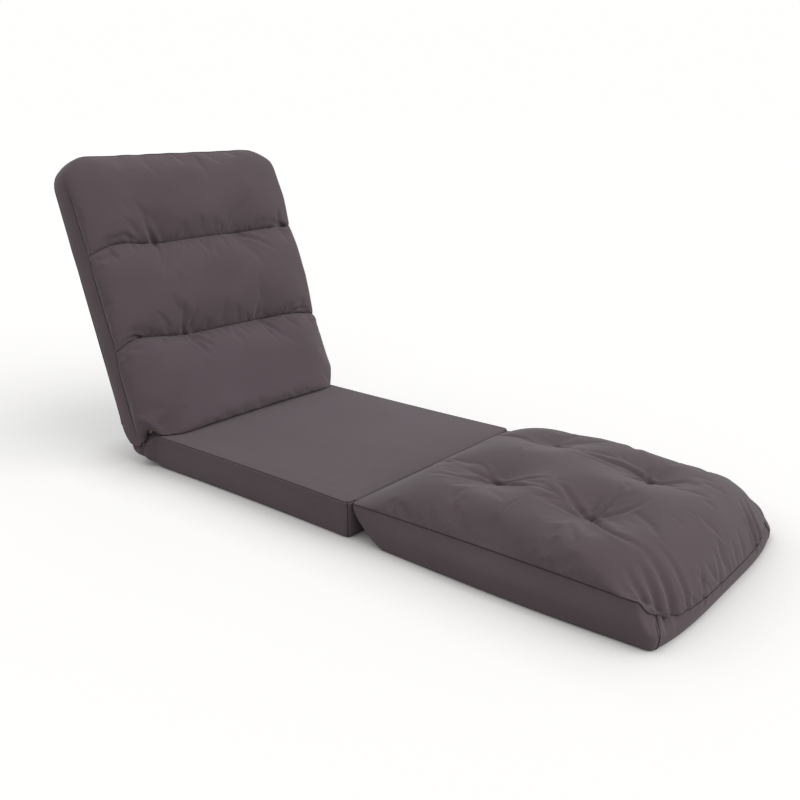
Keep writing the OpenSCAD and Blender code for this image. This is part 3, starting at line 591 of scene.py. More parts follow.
def base_finish():
    finish = Finish("non_slip_base_cloth", Specular_IOR_Level=0.3)
    dots = finish.node(
        "ShaderNodeTexVoronoi",
        {"feature": "F1", "distance": "EUCLIDEAN"},
        {"Vector": finish.place, "Scale": DOTS_PER_M, "Randomness": 0.0},
    )
    drops = finish.node(
        "ShaderNodeMapRange", {}, {0: dots, 1: DOT_EDGE[0], 2: DOT_EDGE[1], 3: 1.0, 4: 0.0})
    weave = weave_of(finish, BASE_PITCH)
    finish.set(
        Base_Color=finish.colours(drops * 0.8 + weave * 0.2, linear(46, 42, 45), linear(24, 22, 24)),
        Roughness=0.85 - drops * 0.35,
    )
    finish.bump(drops * 1.0 + weave * 0.3, 0.6, 0.4 * MM)
    return finish.material


BASE = base_finish()
print("base:", BASE.name)

# %% [markdown]
# Webbing, zip tape and cord are narrow weaves of thicker yarn, so one function makes all three
# from a colour range and the pitch of the yarn.

# %% Webbing, tape and cord
def strap_finish(name, dark, light, pitch):
    finish = Finish(name, Roughness=0.8, Specular_IOR_Level=0.3)
    weave = weave_of(finish, pitch)
    worn = finish.clouds(60.0, 3.0)
    finish.set(Base_Color=finish.colours(weave * 0.7 + worn * 0.3, dark, light))
    finish.bump(weave, 0.7, 0.4 * MM)
    return finish.material


WEBBING = strap_finish("woven_webbing", linear(84, 78, 80), linear(128, 120, 120), 2.0 * MM)
ZIP_TAPE = strap_finish("zip_tape", linear(58, 51, 55), linear(76, 68, 72), 0.9 * MM)
CORD = strap_finish("twisted_cord", linear(86, 78, 82), linear(122, 112, 116), 1.4 * MM)
print("straps:", ", ".join(strap.name for strap in (WEBBING, ZIP_TAPE, CORD)))

# %% [markdown]
# The stuffing never shows unless a cover is opened. Foam is a pale block full of open pores, and
# fibre fill is a soft white cloud, so both are made of noise at two scales.

# %% Stuffing finishes
def stuffing_finish(name, dark, light, pore_scale, depth):
    finish = Finish(name, Roughness=0.95, Specular_IOR_Level=0.15)
    pores = finish.node("ShaderNodeTexVoronoi", {}, {"Vector": finish.place, "Scale": pore_scale})
    clouds = finish.clouds(25.0, 4.0)
    finish.set(Base_Color=finish.colours(pores * 0.6 + clouds * 0.5, dark, light))
    finish.bump(pores + clouds * 0.4, 0.6, depth)
    return finish.material


FOAM = stuffing_finish("open_cell_foam", linear(214, 198, 150), linear(240, 228, 190), 500.0, 0.8 * MM)
FIBRE = stuffing_finish("fibre_fill", linear(226, 224, 218), linear(250, 249, 246), 160.0, 2.5 * MM)
print("stuffings:", FOAM.name, "and", FIBRE.name)

# %% [markdown]
# The hidden metal has two finishes: black powder coat on the bent tubes, with its faint orange
# peel, and bright zinc on the click hinges, with fine brush marks and slightly dulled patches.
# The zip sliders and tuft washers are matt moulded plastic with a fine grain.

# %% Metal and plastic finishes
def coated_finish():
    finish = Finish("black_powder_coat", Coat_Roughness=0.3)
    peel = finish.clouds(450.0, 2.0)
    scuffs = finish.clouds(40.0, 5.0, rough=0.7)
    worn = finish.node("ShaderNodeMapRange", {}, {0: scuffs, 1: 0.62, 2: 0.72, 3: 0.0, 4: 1.0})
    finish.set(
        Base_Color=finish.colours(worn, linear(28, 28, 30), linear(74, 74, 76)),
        Roughness=0.42 + worn * 0.2,
        Coat_Weight=0.25 - worn * 0.2,
    )
    finish.bump(peel, 0.25, 0.15 * MM)
    return finish.material


def zinc_finish(name, dark, light, grain):
    finish = Finish(name, Metallic=1.0)
    brushed = finish.clouds(1.0, 3.0, place=finish.moved(scale=grain))
    dulled = finish.clouds(90.0, 4.0)
    tone = brushed * 0.5 + dulled * 0.5
    finish.set(Base_Color=finish.colours(tone, dark, light), Roughness=0.24 + dulled * 0.25)
    finish.bump(brushed, 0.15, 0.05 * MM)
    return finish.material


def moulded_finish(name, dark, light, rough):
    finish = Finish(name, Specular_IOR_Level=0.45)
    grain = finish.clouds(1200.0, 2.0)
    hands = finish.clouds(120.0, 4.0)
    finish.set(Base_Color=finish.colours(hands, dark, light), Roughness=grain * 0.12 + rough)
    finish.bump(grain, 0.2, 0.08 * MM)
    return finish.material


TUBE = coated_finish()
ZINC = zinc_finish("zinc_plated_hinge", linear(150, 152, 156), linear(196, 198, 200), (80, 900, 900))
RIVET = zinc_finish("bright_rivet", linear(176, 178, 182), linear(216, 217, 220), (400, 400, 400))
SPRING = zinc_finish("spring_steel", linear(160, 162, 168), linear(206, 208, 212), (900, 80, 900))
SLIDER = moulded_finish("zip_slider_plastic", linear(36, 33, 36), linear(54, 50, 53), 0.4)
WASHER = moulded_finish("tuft_washer_plastic", linear(22, 22, 24), linear(34, 34, 36), 0.5)
HARD = (TUBE, ZINC, RIVET, SPRING, SLIDER, WASHER)
print("hard finishes:", ", ".join(finish.name for finish in HARD))

# %% [markdown]
# The record names a material slot for each sub-part. Tubes, hinges, rivets, springs, webbing,
# washers and sliders are shown as the frame holds them, so each of its meshes gets the finish of
# its slot.

# %% A finish for each slot
SLOT_FINISH = {
    "cover_cloth": COVER,
    "base_cloth": BASE,
    "foam": FOAM,
    "fibre_fill": FIBRE,
    "frame_steel": TUBE,
    "hinge_steel": ZINC,
    "rivet_steel": RIVET,
    "spring_steel": SPRING,
    "webbing": WEBBING,
    "cord": CORD,
    "zip": ZIP_TAPE,
    "slider": SLIDER,
    "washer": WASHER,
}
for subpart in frame["record"]["subparts"]:
    node_mesh = frame["nodes"][subpart["node"]].data
    node_mesh.materials.clear()
    node_mesh.materials.append(SLOT_FINISH[subpart["material_slot"]])

# %% [markdown]
# The leg pad is the most stuffed piece. Its top panel climbs from the hinge, stays high across
# four tufts and rolls over the front, where the stuffing pushes the front seam down towards the
# floor. Its plan has drawn-in sides, a bowed front and round corners. The grid is spaced evenly
# along the cloth, because a simulated cloth behaves best when its squares are alike.

# %% The leg pad's plan and its top
LEG_LEN = 600 * MM
LEG_BOW = 30 * MM
LEG_BOW_POWER = 3.3
LEG_DRAW = 5 * MM
LEG_FRONT_R = 28 * MM
LEG_REAR_R = 12 * MM
LEG_CROWN = LEG_HIGH[2] - LEG_SEAM_H
LEG_NEAR_POWER = 3.0
LEG_FAR_POWER = 4.2
LEG_FRONT_POWER = 4.0
LEG_SEAM_DIP = 45 * MM
LEG_DIP_REACH = 34 * MM
LEG_FAR_FRONT_POWER = 3.0
TUFTS = np.array([(-86, 207), (-112, 417), (104, 428), (130, 206)]) * MM
TUFT_SHARES = (1.0, 1.0, 1.0, 0.5)
TUFT_BOWL = (27 * MM, 44 * MM)
TUFT_PIT = (8 * MM, 13 * MM)
LEG_CLIMB = 0.3
LEG_COLS = 128
LEG_ROWS = 142


def leg_plan(s, t):
    """Places on the pad for shares across it, -1 to 1, and along it from the hinge, 0 to 1."""
    x = s * (LEG_HALF_W - LEG_DRAW * 4 * t * (1 - t)
             - corner_cut((1 - t) * LEG_LEN, LEG_FRONT_R) - corner_cut(t * LEG_LEN, LEG_REAR_R))
    bow = LEG_BOW * (1 - np.abs(s) ** LEG_BOW_POWER) * t ** 4
    y = HINGE_Y - t * LEG_LEN - bow
    return x, y


def tuft_gaps(x, y):
    """How far each point lies from each tuft, in plan."""
    return [np.hypot(x - tuft_x, HINGE_Y - y - tuft_v) for tuft_x, tuft_v in TUFTS]


def tuft_hollow(x, y, depth, spread):
    """How far the tufts pull the top down at each point."""
    gaps = tuft_gaps(x, y)
    return depth * sum(share * bell(gap, spread) for gap, share in zip(gaps, TUFT_SHARES))


def leg_rise(s, t):
    """The stuffing's height over the seams, 0 to 1: its climb, its front and its sides."""
    rear = np.where(t < LEG_CLIMB, np.sin(np.pi / 2 * np.minimum(t / LEG_CLIMB, 1)), 1)
    far_share = smooth(2 * s)
    front = dome(np.clip((t - 0.5) / 0.5, 0, 1), lerp(LEG_FRONT_POWER, LEG_FAR_FRONT_POWER, far_share))
    far_power = lerp(LEG_FAR_POWER, LEG_FAR_FRONT_POWER, ramp(t, 0.45, 0.35))
    across = np.where(s < 0, dome(s, LEG_NEAR_POWER), dome(s, far_power))
    return rear * front * across


def leg_seam_height(s, t):
    """The seam sinks along the front, where the stuffing rolls over it, and less on the corners."""
    corner_share = np.abs(s) ** 10 * np.where(s < 0, 1.0, 0.3) * (1 - 0.45 * ramp(t, 0.97, 0.03))
    return LEG_SEAM_H - LEG_SEAM_DIP * (1 - corner_share) * bell((1 - t) * LEG_LEN, LEG_DIP_REACH)


leg_width = even_steps(
    lambda s: (LEG_HALF_W * s, LEG_CROWN * dome(s, LEG_NEAR_POWER)), -1, 1, LEG_COLS)
leg_length = even_steps(
    lambda t: (LEG_LEN * t, LEG_CROWN * leg_rise(0 * t, t)), 0, 1, LEG_ROWS)
leg_s, leg_t = np.meshgrid(leg_width, leg_length)
leg_x, leg_y = leg_plan(leg_s, leg_t)
hollows = tuft_hollow(leg_x, leg_y, *TUFT_BOWL) + tuft_hollow(leg_x, leg_y, *TUFT_PIT)
leg_z = leg_seam_height(leg_s, leg_t) + leg_rise(leg_s, leg_t) * (LEG_CROWN - hollows)
leg_start = np.stack([leg_x, leg_y, leg_z], axis=-1)
print("leg pad's top panel:", leg_start.shape[0], "rows of", leg_start.shape[1], "points")

# %% [markdown]
# Now the panel swells. It is held along its four seams and in a small round at each tuft, and the
# swelling is calmed near the hinge and on the far front corner, where the photograph shows the
# cloth smooth. The folds are listed as the photograph shows them, in millimetres across the pad
# and out from the hinge, each with its width and depth.

# %% Swell the leg pad
TUFT_HELD = 7 * MM
HINGE_CALM_REACH = 0.16
FAR_FRONT_CALM = 0.6
LEG_FOLDS = (
    ([(-86, 205), (-99, 190), (-124, 169), (-144, 138), (-154, 93)], 6.5, 5.0),
    ([(-85, 203), (-84, 186), (-89, 157), (-97, 130)], 5.5, 4.0),
    ([(-83, 205), (-76, 191), (-70, 171)], 5.0, 3.5),
    ([(-85, 210), (-79, 239), (-70, 276), (-68, 316)], 5.5, 4.0),
    ([(-88, 212), (-100, 245), (-109, 283), (-104, 325), (-107, 363), (-111, 406)], 7.0, 4.5),
    ([(-111, 414), (-105, 390), (-90, 361), (-62, 327)], 6.5, 5.0),
    ([(-115, 414), (-126, 391), (-133, 366), (-143, 335)], 5.5, 3.5),
    ([(-109, 416), (-88, 411), (-58, 408)], 5.0, 4.5),
    ([(-108, 420), (-89, 428), (-52, 431), (-12, 427)], 5.5, 5.0),
    ([(-109, 423), (-93, 450), (-64, 477), (-25, 487)], 5.5, 4.0),
    ([(-115, 421), (-140, 452), (-168, 490), (-176, 525), (-172, 562)], 6.5, 5.5),
    ([(-135, 440), (-164, 478), (-175, 510), (-172, 534)], 4.0, 3.0),
    ([(104, 426), (110, 398), (103, 368), (84, 334), (84, 290), (108, 248)], 6.5, 5.5),
    ([(102, 425), (78, 408), (48, 388)], 5.5, 4.5),
    ([(106, 423), (127, 410), (150, 412)], 5.5, 4.5),
    ([(106, 431), (113, 462), (129, 494)], 5.5, 4.5),
    ([(103, 433), (92, 478), (82, 509)], 5.0, 3.5),
    ([(100, 430), (62, 440), (25, 448)], 5.5, 4.0),
    ([(130, 208), (120, 232), (104, 262)], 5.5, 4.0),
    ([(-232, 604), (-222, 590), (-210, 569), (-200, 552)], 7.0, 6.0),
    ([(-205, 618), (-193, 600), (-182, 575), (-178, 545)], 7.5, 6.0),
    ([(-165, 624), (-156, 608), (-148, 580), (-147, 556)], 5.5, 3.5),
    ([(-112, 629), (-99, 617), (-85, 606)], 5.0, 3.0),
    ([(-45, 630), (-33, 616), (-28, 600)], 5.5, 2.5),
    ([(-246, 588), (-237, 562), (-226, 538)], 5.5, 4.0),
    ([(128, 630), (136, 616), (152, 596), (170, 574)], 6.0, 5.0),
    ([(160, 624), (172, 606), (190, 586), (206, 566)], 6.0, 5.0),
    ([(-176, 308), (-211, 304), (-239, 308), (-262, 312)], 3.5, 1.6),
    ([(240, 330), (205, 345), (180, 352)], 9.0, 3.0),
    ([(255, 505), (220, 480), (190, 470)], 10.0, 4.0),
)


def edge_held(shape):
    """A grid that is 1 on its four edges and 0 inside, for the cloth's held points."""
    held = np.zeros(shape)
    held[[0, -1], :] = 1
    held[:, [0, -1]] = 1
    return held


leg_held = edge_held(leg_start.shape[:2])
leg_held[np.min(tuft_gaps(leg_x, leg_y), axis=0) < TUFT_HELD] = 1
leg_settled = swell(
    leg_start, leg_held, pressure=4.0, slack=0.014, frames=30, cap=14 * MM, bending=3.0)
far_front = ramp(leg_s, 0.1, 0.6) * ramp(leg_t, 0.45, 0.25)
leg_freedom = smooth(leg_t / HINGE_CALM_REACH) * (1 - FAR_FRONT_CALM * far_front)
leg_settled = lerp(leg_start, leg_settled, leg_freedom[..., None])
leg_folds = [
    ([(x, HINGE_Y / MM - v) for x, v in path], width, depth) for path, width, depth in LEG_FOLDS]
leg_top = creased(refined(leg_settled), leg_folds)
print("leg pad's highest point:", round(float(leg_top[..., 2].max()), 4))

# %% [markdown]
# The band round the leg pad hangs from the top panel's edge, so it takes that edge's own points as
# its upper line. Its lower line lies on the floor, a little fuller and squarer than the seam, as
# the photograph shows it, and climbs where the pad's underside rounds up to the hinge.

# %% The leg pad's outline on the floor
LEG_ROUND_LEN = 81 * MM
LEG_ROUND_POWER = 1.35
FOOT_SPREAD = 3 * MM
FOOT_FRONT = 15 * MM
FOOT_BOW = 15 * MM
FOOT_NEAR_R = 12 * MM
FOOT_FAR_R = 36 * MM
FOOT_SIDE_BOW = 8 * MM
ZIP_SIDE_INSET = 2 * MM
FLOOR_GAP = 0.5 * MM


def leg_low_height(y):
    """How high the pad's underside lies: on the floor, and rounded up near the hinge."""
    down = np.clip(1 - (HINGE_Y - y) / LEG_ROUND_LEN, 0, 1)
    along = (1 - down ** LEG_ROUND_POWER) ** (1 / LEG_ROUND_POWER)
    return LEG_SEAM_H * (1 - along)


def foot_plan(s, t):
    """The pad's outline on the floor: fuller and squarer than its seam, plain on the zip's side."""
    zip_side = LEG_HALF_W - ZIP_SIDE_INSET - LEG_DRAW * 4 * t * (1 - t)
    near_side = LEG_HALF_W + FOOT_SPREAD + FOOT_SIDE_BOW * np.sin(np.pi * np.clip(t, 0, 1) ** 1.4)
    half = np.where(s < 0, near_side, zip_side)
    front_r = np.where(s < 0, FOOT_NEAR_R, FOOT_FAR_R)
    x = s * (half - corner_cut((1 - t) * LEG_LEN, front_r) - corner_cut(t * LEG_LEN, LEG_REAR_R))
    y = HINGE_Y - t * LEG_LEN - t ** 4 * (FOOT_FRONT + FOOT_BOW * (1 - s ** 4))
    return x, y


def border(points):
    """The left, front and right edges of a panel, as one line of points."""
    return np.concatenate([points[:-1, 0], points[-1, :-1], points[::-1, -1]])


def leg_foot_line(upper, s, t):
    """The line on the floor below each point of the band's upper edge."""
    x, y = foot_plan(s, t)
    rise = smooth(leg_low_height(y) / LEG_SEAM_H)
    z = leg_low_height(y) + FLOOR_GAP
    return np.stack([lerp(x, upper[:, 0], rise), lerp(y, upper[:, 1], rise), z], axis=-1)


leg_edge = border(leg_top)
edge_s = border(refined(leg_s[..., None]))[:, 0]
edge_t = border(refined(leg_t[..., None]))[:, 0]
leg_foot = leg_foot_line(leg_edge, edge_s, edge_t)
print("points round the pad:", len(leg_foot))

# %% [markdown]
# Between the two lines the band bulges, puckers under the seam, most of all where the photograph
# shows it gathered, and turns in sharply at the floor. On the far side it stays flat for the zip.

# %% The leg pad's top and band
BAND_ROWS = 26
BELLY_POWER = 0.8
SLOPE_SHARE = 0.55
LEG_BELLY = 4 * MM
LEG_PUCKER = 2.2 * MM
GATHER_LEN = 16 * MM
WAVE_LEN = 90 * MM
WAVE_DEPTH = 1.4 * MM
FOOT_TURN = 3 * MM
HEM = 5 * MM
SIDE_ZIP_HALF = 203 * MM
ZIP_HALF_W = 17 * MM
PUCKER_Y = HINGE_Y - 505 * MM
PUCKER_SPREAD = 36 * MM
DOWN = [0, 0, -1.0]
ALL_SIDES = ["first_row", "last_row", "first_col", "last_col"]


def band_between(upper, lower, bulge, pucker, seed, zip_flat):
    """Rows of cloth from one line to another, swollen outwards and gathered under the first."""
    f = np.linspace(0, 1, BAND_ROWS)[:, None]
    outward = outward_of(lower)
    drop = (upper - lower)[:, 2] / LEG_SEAM_H
    out = bulge * np.sin(np.pi * f) ** BELLY_POWER * drop
    down = upper[None] * (1 - f[..., None]) + lower[None] * f[..., None]
    plan = smooth(f / SLOPE_SHARE)[..., None]
    down[..., :2] = upper[None, :, :2] * (1 - plan) + lower[None, :, :2] * plan
    gathers = ripple(upper[None] * [1, 1, 0.2] + 0 * f[..., None], GATHER_LEN, seed)
    waves = ripple(down, WAVE_LEN, seed + 3)
    strong = 1 + 2 * bell(upper[None, :, 1] - PUCKER_Y, PUCKER_SPREAD) * (upper[None, :, 0] < 0)
    out = out + pucker * strong * gathers * np.exp(-f * 5) * np.minimum(1, f * 8) * drop
    out = out + WAVE_DEPTH * waves * np.sin(np.pi * f) - FOOT_TURN * ramp(f, 0.86, 0.14) ** 2 * drop
    return down + (out * zip_flat(down))[..., None] * outward[None]


def side_zip_flat(middle_y, middle_z):
    """A function of points that is 0 where the zip on the far side needs the band flat."""
    def flat(points):
        along = ramp(np.abs(points[..., 1] - middle_y), SIDE_ZIP_HALF, 30 * MM)
        across = ramp(np.abs(points[..., 2] - middle_z), ZIP_HALF_W, 10 * MM)
        return np.where(points[..., 0] > 0, np.maximum(along, across * 0.3), 1)
    return flat


def hemmed(band, foot):
    """One more row that turns in under the piece, so that no gap shows at the floor."""
    hem = foot - outward_of(foot) * (HEM + FOOT_TURN) + [0, 0, MM]
    return np.concatenate([band, hem[None]])


leg_band_points = band_between(
    leg_edge, leg_foot, LEG_BELLY, LEG_PUCKER, 5.1,
    side_zip_flat(HINGE_Y - LEG_LEN / 2, LEG_SEAM_H / 2))
leg_cover = as_cloth(grid_mesh("leg_top_panel", turned_edges(leg_top, ALL_SIDES, DOWN)), levels=0)
finished(leg_cover, COVER, "leg")
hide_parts("leg_cover_top")
leg_band = as_cloth(grid_mesh("leg_side_band", hemmed(leg_band_points, leg_foot)), levels=0)
finished(leg_band, COVER, "leg")
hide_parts("leg_cover_boxing")
print("leg pad's band:", leg_band_points.shape)

# %% [markdown]
# Underneath, the pad has two cloths. The end that rounds up to the hinge is cover cloth, because it
# shows when the pad is folded up, and the flat part is the dark non-slip cloth. Both are strips of
# one surface, cut where the rounding ends.

# %% The leg pad's end and base
BASE_INSET = 5 * MM


def leg_underside(first, last, rows):
    """The pad's underside between two shares of its length."""
    s, t = np.meshgrid(np.linspace(1, -1, 60), np.linspace(first, last, rows))
    x, y = foot_plan(s, t)
    x = x * (1 - BASE_INSET / LEG_HALF_W)
    y = HINGE_Y + (y - HINGE_Y) * (1 - BASE_INSET / LEG_LEN)
    return np.stack([x, y, leg_low_height(y) + FLOOR_GAP], axis=-1)


LEG_ROUND_SHARE = LEG_ROUND_LEN / LEG_LEN
leg_end = as_cloth(grid_mesh("leg_end_panel", leg_underside(0, LEG_ROUND_SHARE, 26)))
finished(leg_end, COVER, "leg")
leg_base = as_cloth(grid_mesh("leg_base_panel", leg_underside(LEG_ROUND_SHARE, 1, 60)))
finished(leg_base, BASE, "leg")
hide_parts("leg_cover_base")
print("cover cloth for the first", LEG_ROUND_LEN, "m under the pad, then", BASE.name)

# %% [markdown]
# The thread in a seam sits in its groove, a little darker than the cloth: its dark tone is painted
# shade that deepens the groove's line. The pad has one seam round its top and one upright seam on
# each front corner.

# %% Threads of the leg pad
SEAM_THREAD_R = 1.0 * MM
THREAD_PROUD = 0.3 * MM
CORNER_STEPS = 5


def seam_thread(name, path, body, closed=False, radius=SEAM_THREAD_R):
    """A dark thread along a seam, its tone painted shade for the groove, on the body that the seam belongs
    to.
    """
    thread = tube_mesh(name, path, radius, closed=closed)
    return finished(thread, SEAM_SHADE_THREAD, body)


near_corner = len(leg_top) - 1 + CORNER_STEPS
far_corner = len(leg_top) + leg_top.shape[1] - 2 - CORNER_STEPS
seam_thread("leg_seam_thread", leg_edge, "leg")
for number, column in enumerate((near_corner, far_corner)):
    upright = leg_band_points[:, column] + outward_of(leg_foot)[column] * THREAD_PROUD
    seam_thread(f"leg_corner_thread_{number}", upright, "leg")
print("corner threads on columns", near_corner, "and", far_corner, "of the band")

# %% [markdown]
# A cord pulls each tuft down to a washer under the pad. The tufts of a real pad sit a little off
# their marks, so each cord runs from its own washer to where its tuft really is.

# %% Cords of the tufts
CORD_R = 1.5 * MM
CORD_BELOW = 2.5 * MM
WASHER_X = 112 * MM
WASHER_ROWS = (205 * MM, 425 * MM)
washer_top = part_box("leg_tuft_washers")[1][2]
for number, (tuft_x, tuft_v) in enumerate(TUFTS):
    tuft = leg_top.reshape(-1, 3)[int(np.argmin(np.hypot(
        leg_top[..., 0] - tuft_x, HINGE_Y - leg_top[..., 1] - tuft_v)))]
    washer_row = min(WASHER_ROWS, key=lambda row: abs(row - tuft_v))
    foot = np.array([math.copysign(WASHER_X, tuft_x), HINGE_Y - washer_row, washer_top])
    cord_path = foot + (tuft - [0, 0, CORD_BELOW] - foot) * np.linspace(0, 1, 12)[:, None]
    cord = tube_mesh(f"leg_tuft_cord_{number}", cord_path, CORD_R, sides=8)
    finished(cord, CORD, "leg")
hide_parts("leg_tuft_cords")

# %% [markdown]
# The back is a slab that leans, so it is shaped in its own three axes: across, up from the hinge
# pivot, and forward towards the sitter. One function brings finished points into the room.

# %% The back's own axes
ACROSS = np.array([1.0, 0, 0])
UP = np.array([0, math.cos(TILT), math.sin(TILT)])
FORWARD = np.array([0, -math.sin(TILT), math.cos(TILT)])
PIVOT = np.array([0, PIVOT_Y, PIVOT_Z])
BACK_CORNER_R = 60 * MM
BACK_DRAW = 3 * MM
BACK_DRAW_SPREAD = 26 * MM
LOWER_SEAM = 225 * MM
UPPER_SEAM = 450 * MM
SEAM_FORWARD = 48 * MM
PINCH_SPOTS = ((-124 * MM, UPPER_SEAM), (120 * MM, UPPER_SEAM),
               (-113 * MM, LOWER_SEAM), (126 * MM, LOWER_SEAM))


def back_place(points):
    """From across, up and forward on the back to the chair's own axes."""
    return PIVOT + points[..., :1] * ACROSS + points[..., 1:2] * UP + points[..., 2:] * FORWARD


def back_side_x(u, draw=BACK_DRAW):
    """Half of the back's width at a height, drawn in at the seams and round at the top."""
    drawn = bell(u - LOWER_SEAM, BACK_DRAW_SPREAD) + bell(u - UPPER_SEAM, BACK_DRAW_SPREAD)
    return BACK_HALF_W - draw * drawn - corner_cut(BACK_LEN - u, BACK_CORNER_R)


print("back leans", round(math.degrees(LEAN), 1), "degrees from upright")

# %% [markdown]
# The front of the back is one cloth in three stuffed channels. Two seams hold it near the foam and
# droop at their ends, and a cord pulls each seam in at two places. Below the lowest channel the
# cloth meets the seat, tucks under and runs back into the crease. The start shape is flatter than
# the finished one, because the simulation fills it.

# %% The back's front panel before it swells
CHANNEL_POWER = 3.4
CHANNEL_ROWS = (45, 46, 62)
CHANNEL_SWELL = (27 * MM, 28 * MM)
UNDER_ROWS = 15
FRONT_COLS = 122
SEAM_BEND = 38 * MM
SIDE_POWER = 9
NEAR_OVERHANG = 9 * MM
FAR_OVERHANG = 18 * MM
OVERHANG_FOOT = 28 * MM
OVERHANG_TOP = 40 * MM
END_LIFT = 9 * MM
NEAR_TUCK = 14 * MM
FOAM_FRONT = 29.3 * MM
SIDE_SWELL = 42 * MM
SEAM_SPREAD = 14 * MM
PINCH_PIT = (9 * MM, 16 * MM)
PINCH_BOWL = (5 * MM, 45 * MM)
TOP_SLACK = 2.2 * MM
UPPER_BEND = spline([(-310, -11), (-232, 7), (-125, 0), (72, 1), (310, 1)], 60) * MM
LOWER_BEND = spline([(-313, -8), (-249, 15), (-112, 2), (122, -1), (240, -6), (321, -20)], 60) * MM
LOWEST_LINE = spline(np.array([
    (225, 48), (220, 61), (211, 70), (193, 77), (165, 82), (130, 86), (95, 89.5), (60, 93),
    (35, 96.5), (20, 99), (11, 99.5), (5.8, 97.5), (5.8, 93), (13, 84), (27, 71), (37, 57),
    (38, 44), (32, 35), (27, 33),
]) * MM, CHANNEL_ROWS[2])
LOWEST_SIDE = spline(np.array([
    (225, 30), (205, 27), (180, 23), (120, 20), (55, 20), (36, 23), (24, 28), (8, 28),
]) * MM, CHANNEL_ROWS[2])


def channel(high, low, high_n, low_n, swell_n, count):
    """Up and forward along the middle of one channel, from its upper seam to its lower one."""
    share = np.linspace(0, 1, 400)
    forward = lerp(high_n, low_n, share) + swell_n * dome(2 * share - 1, CHANNEL_POWER)
    return evenly(np.stack([lerp(high, low, share), forward], axis=-1), count)


def front_start():
    """The front panel as a grid of points across, up and forward, top row first."""
    upper = channel(BACK_LEN, UPPER_SEAM, BACK_HALF_T, SEAM_FORWARD, CHANNEL_SWELL[0], CHANNEL_ROWS[0])
    middle = channel(
        UPPER_SEAM, LOWER_SEAM, SEAM_FORWARD, SEAM_FORWARD, CHANNEL_SWELL[1], CHANNEL_ROWS[1])
    middle_line = np.concatenate([upper, middle[1:], LOWEST_LINE[1:]])
    side_n = np.full(len(upper) + len(middle) - 1, BACK_HALF_T)
    side_line = np.concatenate([
        np.stack([middle_line[:len(side_n), 0], side_n], axis=-1), LOWEST_SIDE[1:]])
    s = even_steps(
        lambda v: (BACK_HALF_W * v, SIDE_SWELL * dome(v, SIDE_POWER)), -1, 1, FRONT_COLS)[None]
    side = ramp(np.abs(s), 0.86, 0.14)
    u = lerp(middle_line[:, :1], side_line[:, :1], side)
    share = dome(s, SIDE_POWER)
    row_u, row_n = middle_line[:, :1], middle_line[:, 1:]
    seam_lift = sum(bell(row_u - seam, SEAM_SPREAD) for seam in (UPPER_SEAM, LOWER_SEAM))
    n = lerp(side_line[:, 1:], row_n, share) + END_LIFT * seam_lift * side * share
    overhang = np.where(s < 0, NEAR_OVERHANG, FAR_OVERHANG) * np.sin(np.pi * np.minimum(share / 0.8, 1))
    along_side = smooth(side_line[:, :1] / OVERHANG_FOOT) * smooth((BACK_LEN - row_u) / OVERHANG_TOP)
    x = s * back_side_x(u) + np.sign(s) * overhang * along_side
    for seam, bend in ((UPPER_SEAM, UPPER_BEND), (LOWER_SEAM, LOWER_BEND)):
        u = u + np.interp(x, bend[:, 0], bend[:, 1]) * bell(row_u - seam, SEAM_BEND)
    n = n - NEAR_TUCK * bell(s + 0.87, 0.05) * smooth((100 * MM - row_u) / (70 * MM)) * (row_n > FOAM_FRONT)
    for spot_x, spot_u in PINCH_SPOTS:
        away = np.hypot(x - spot_x, row_u - spot_u)
        n = n - PINCH_PIT[0] * bell(away, PINCH_PIT[1]) - PINCH_BOWL[0] * bell(away, PINCH_BOWL[1])
    bumps = TOP_SLACK * ripple(np.stack([x, 0 * u, 0 * u], axis=-1) + 0 * u[..., None], 45 * MM, 6.6)
    u = u + bumps * ramp(u, 600 * MM, 64 * MM)
    return np.stack([x, u, n], axis=-1)


front = front_start()
seam_rows = (CHANNEL_ROWS[0] - 1, CHANNEL_ROWS[0] + CHANNEL_ROWS[1] - 2)
print("back's front panel:", front.shape, "seams on rows", seam_rows)
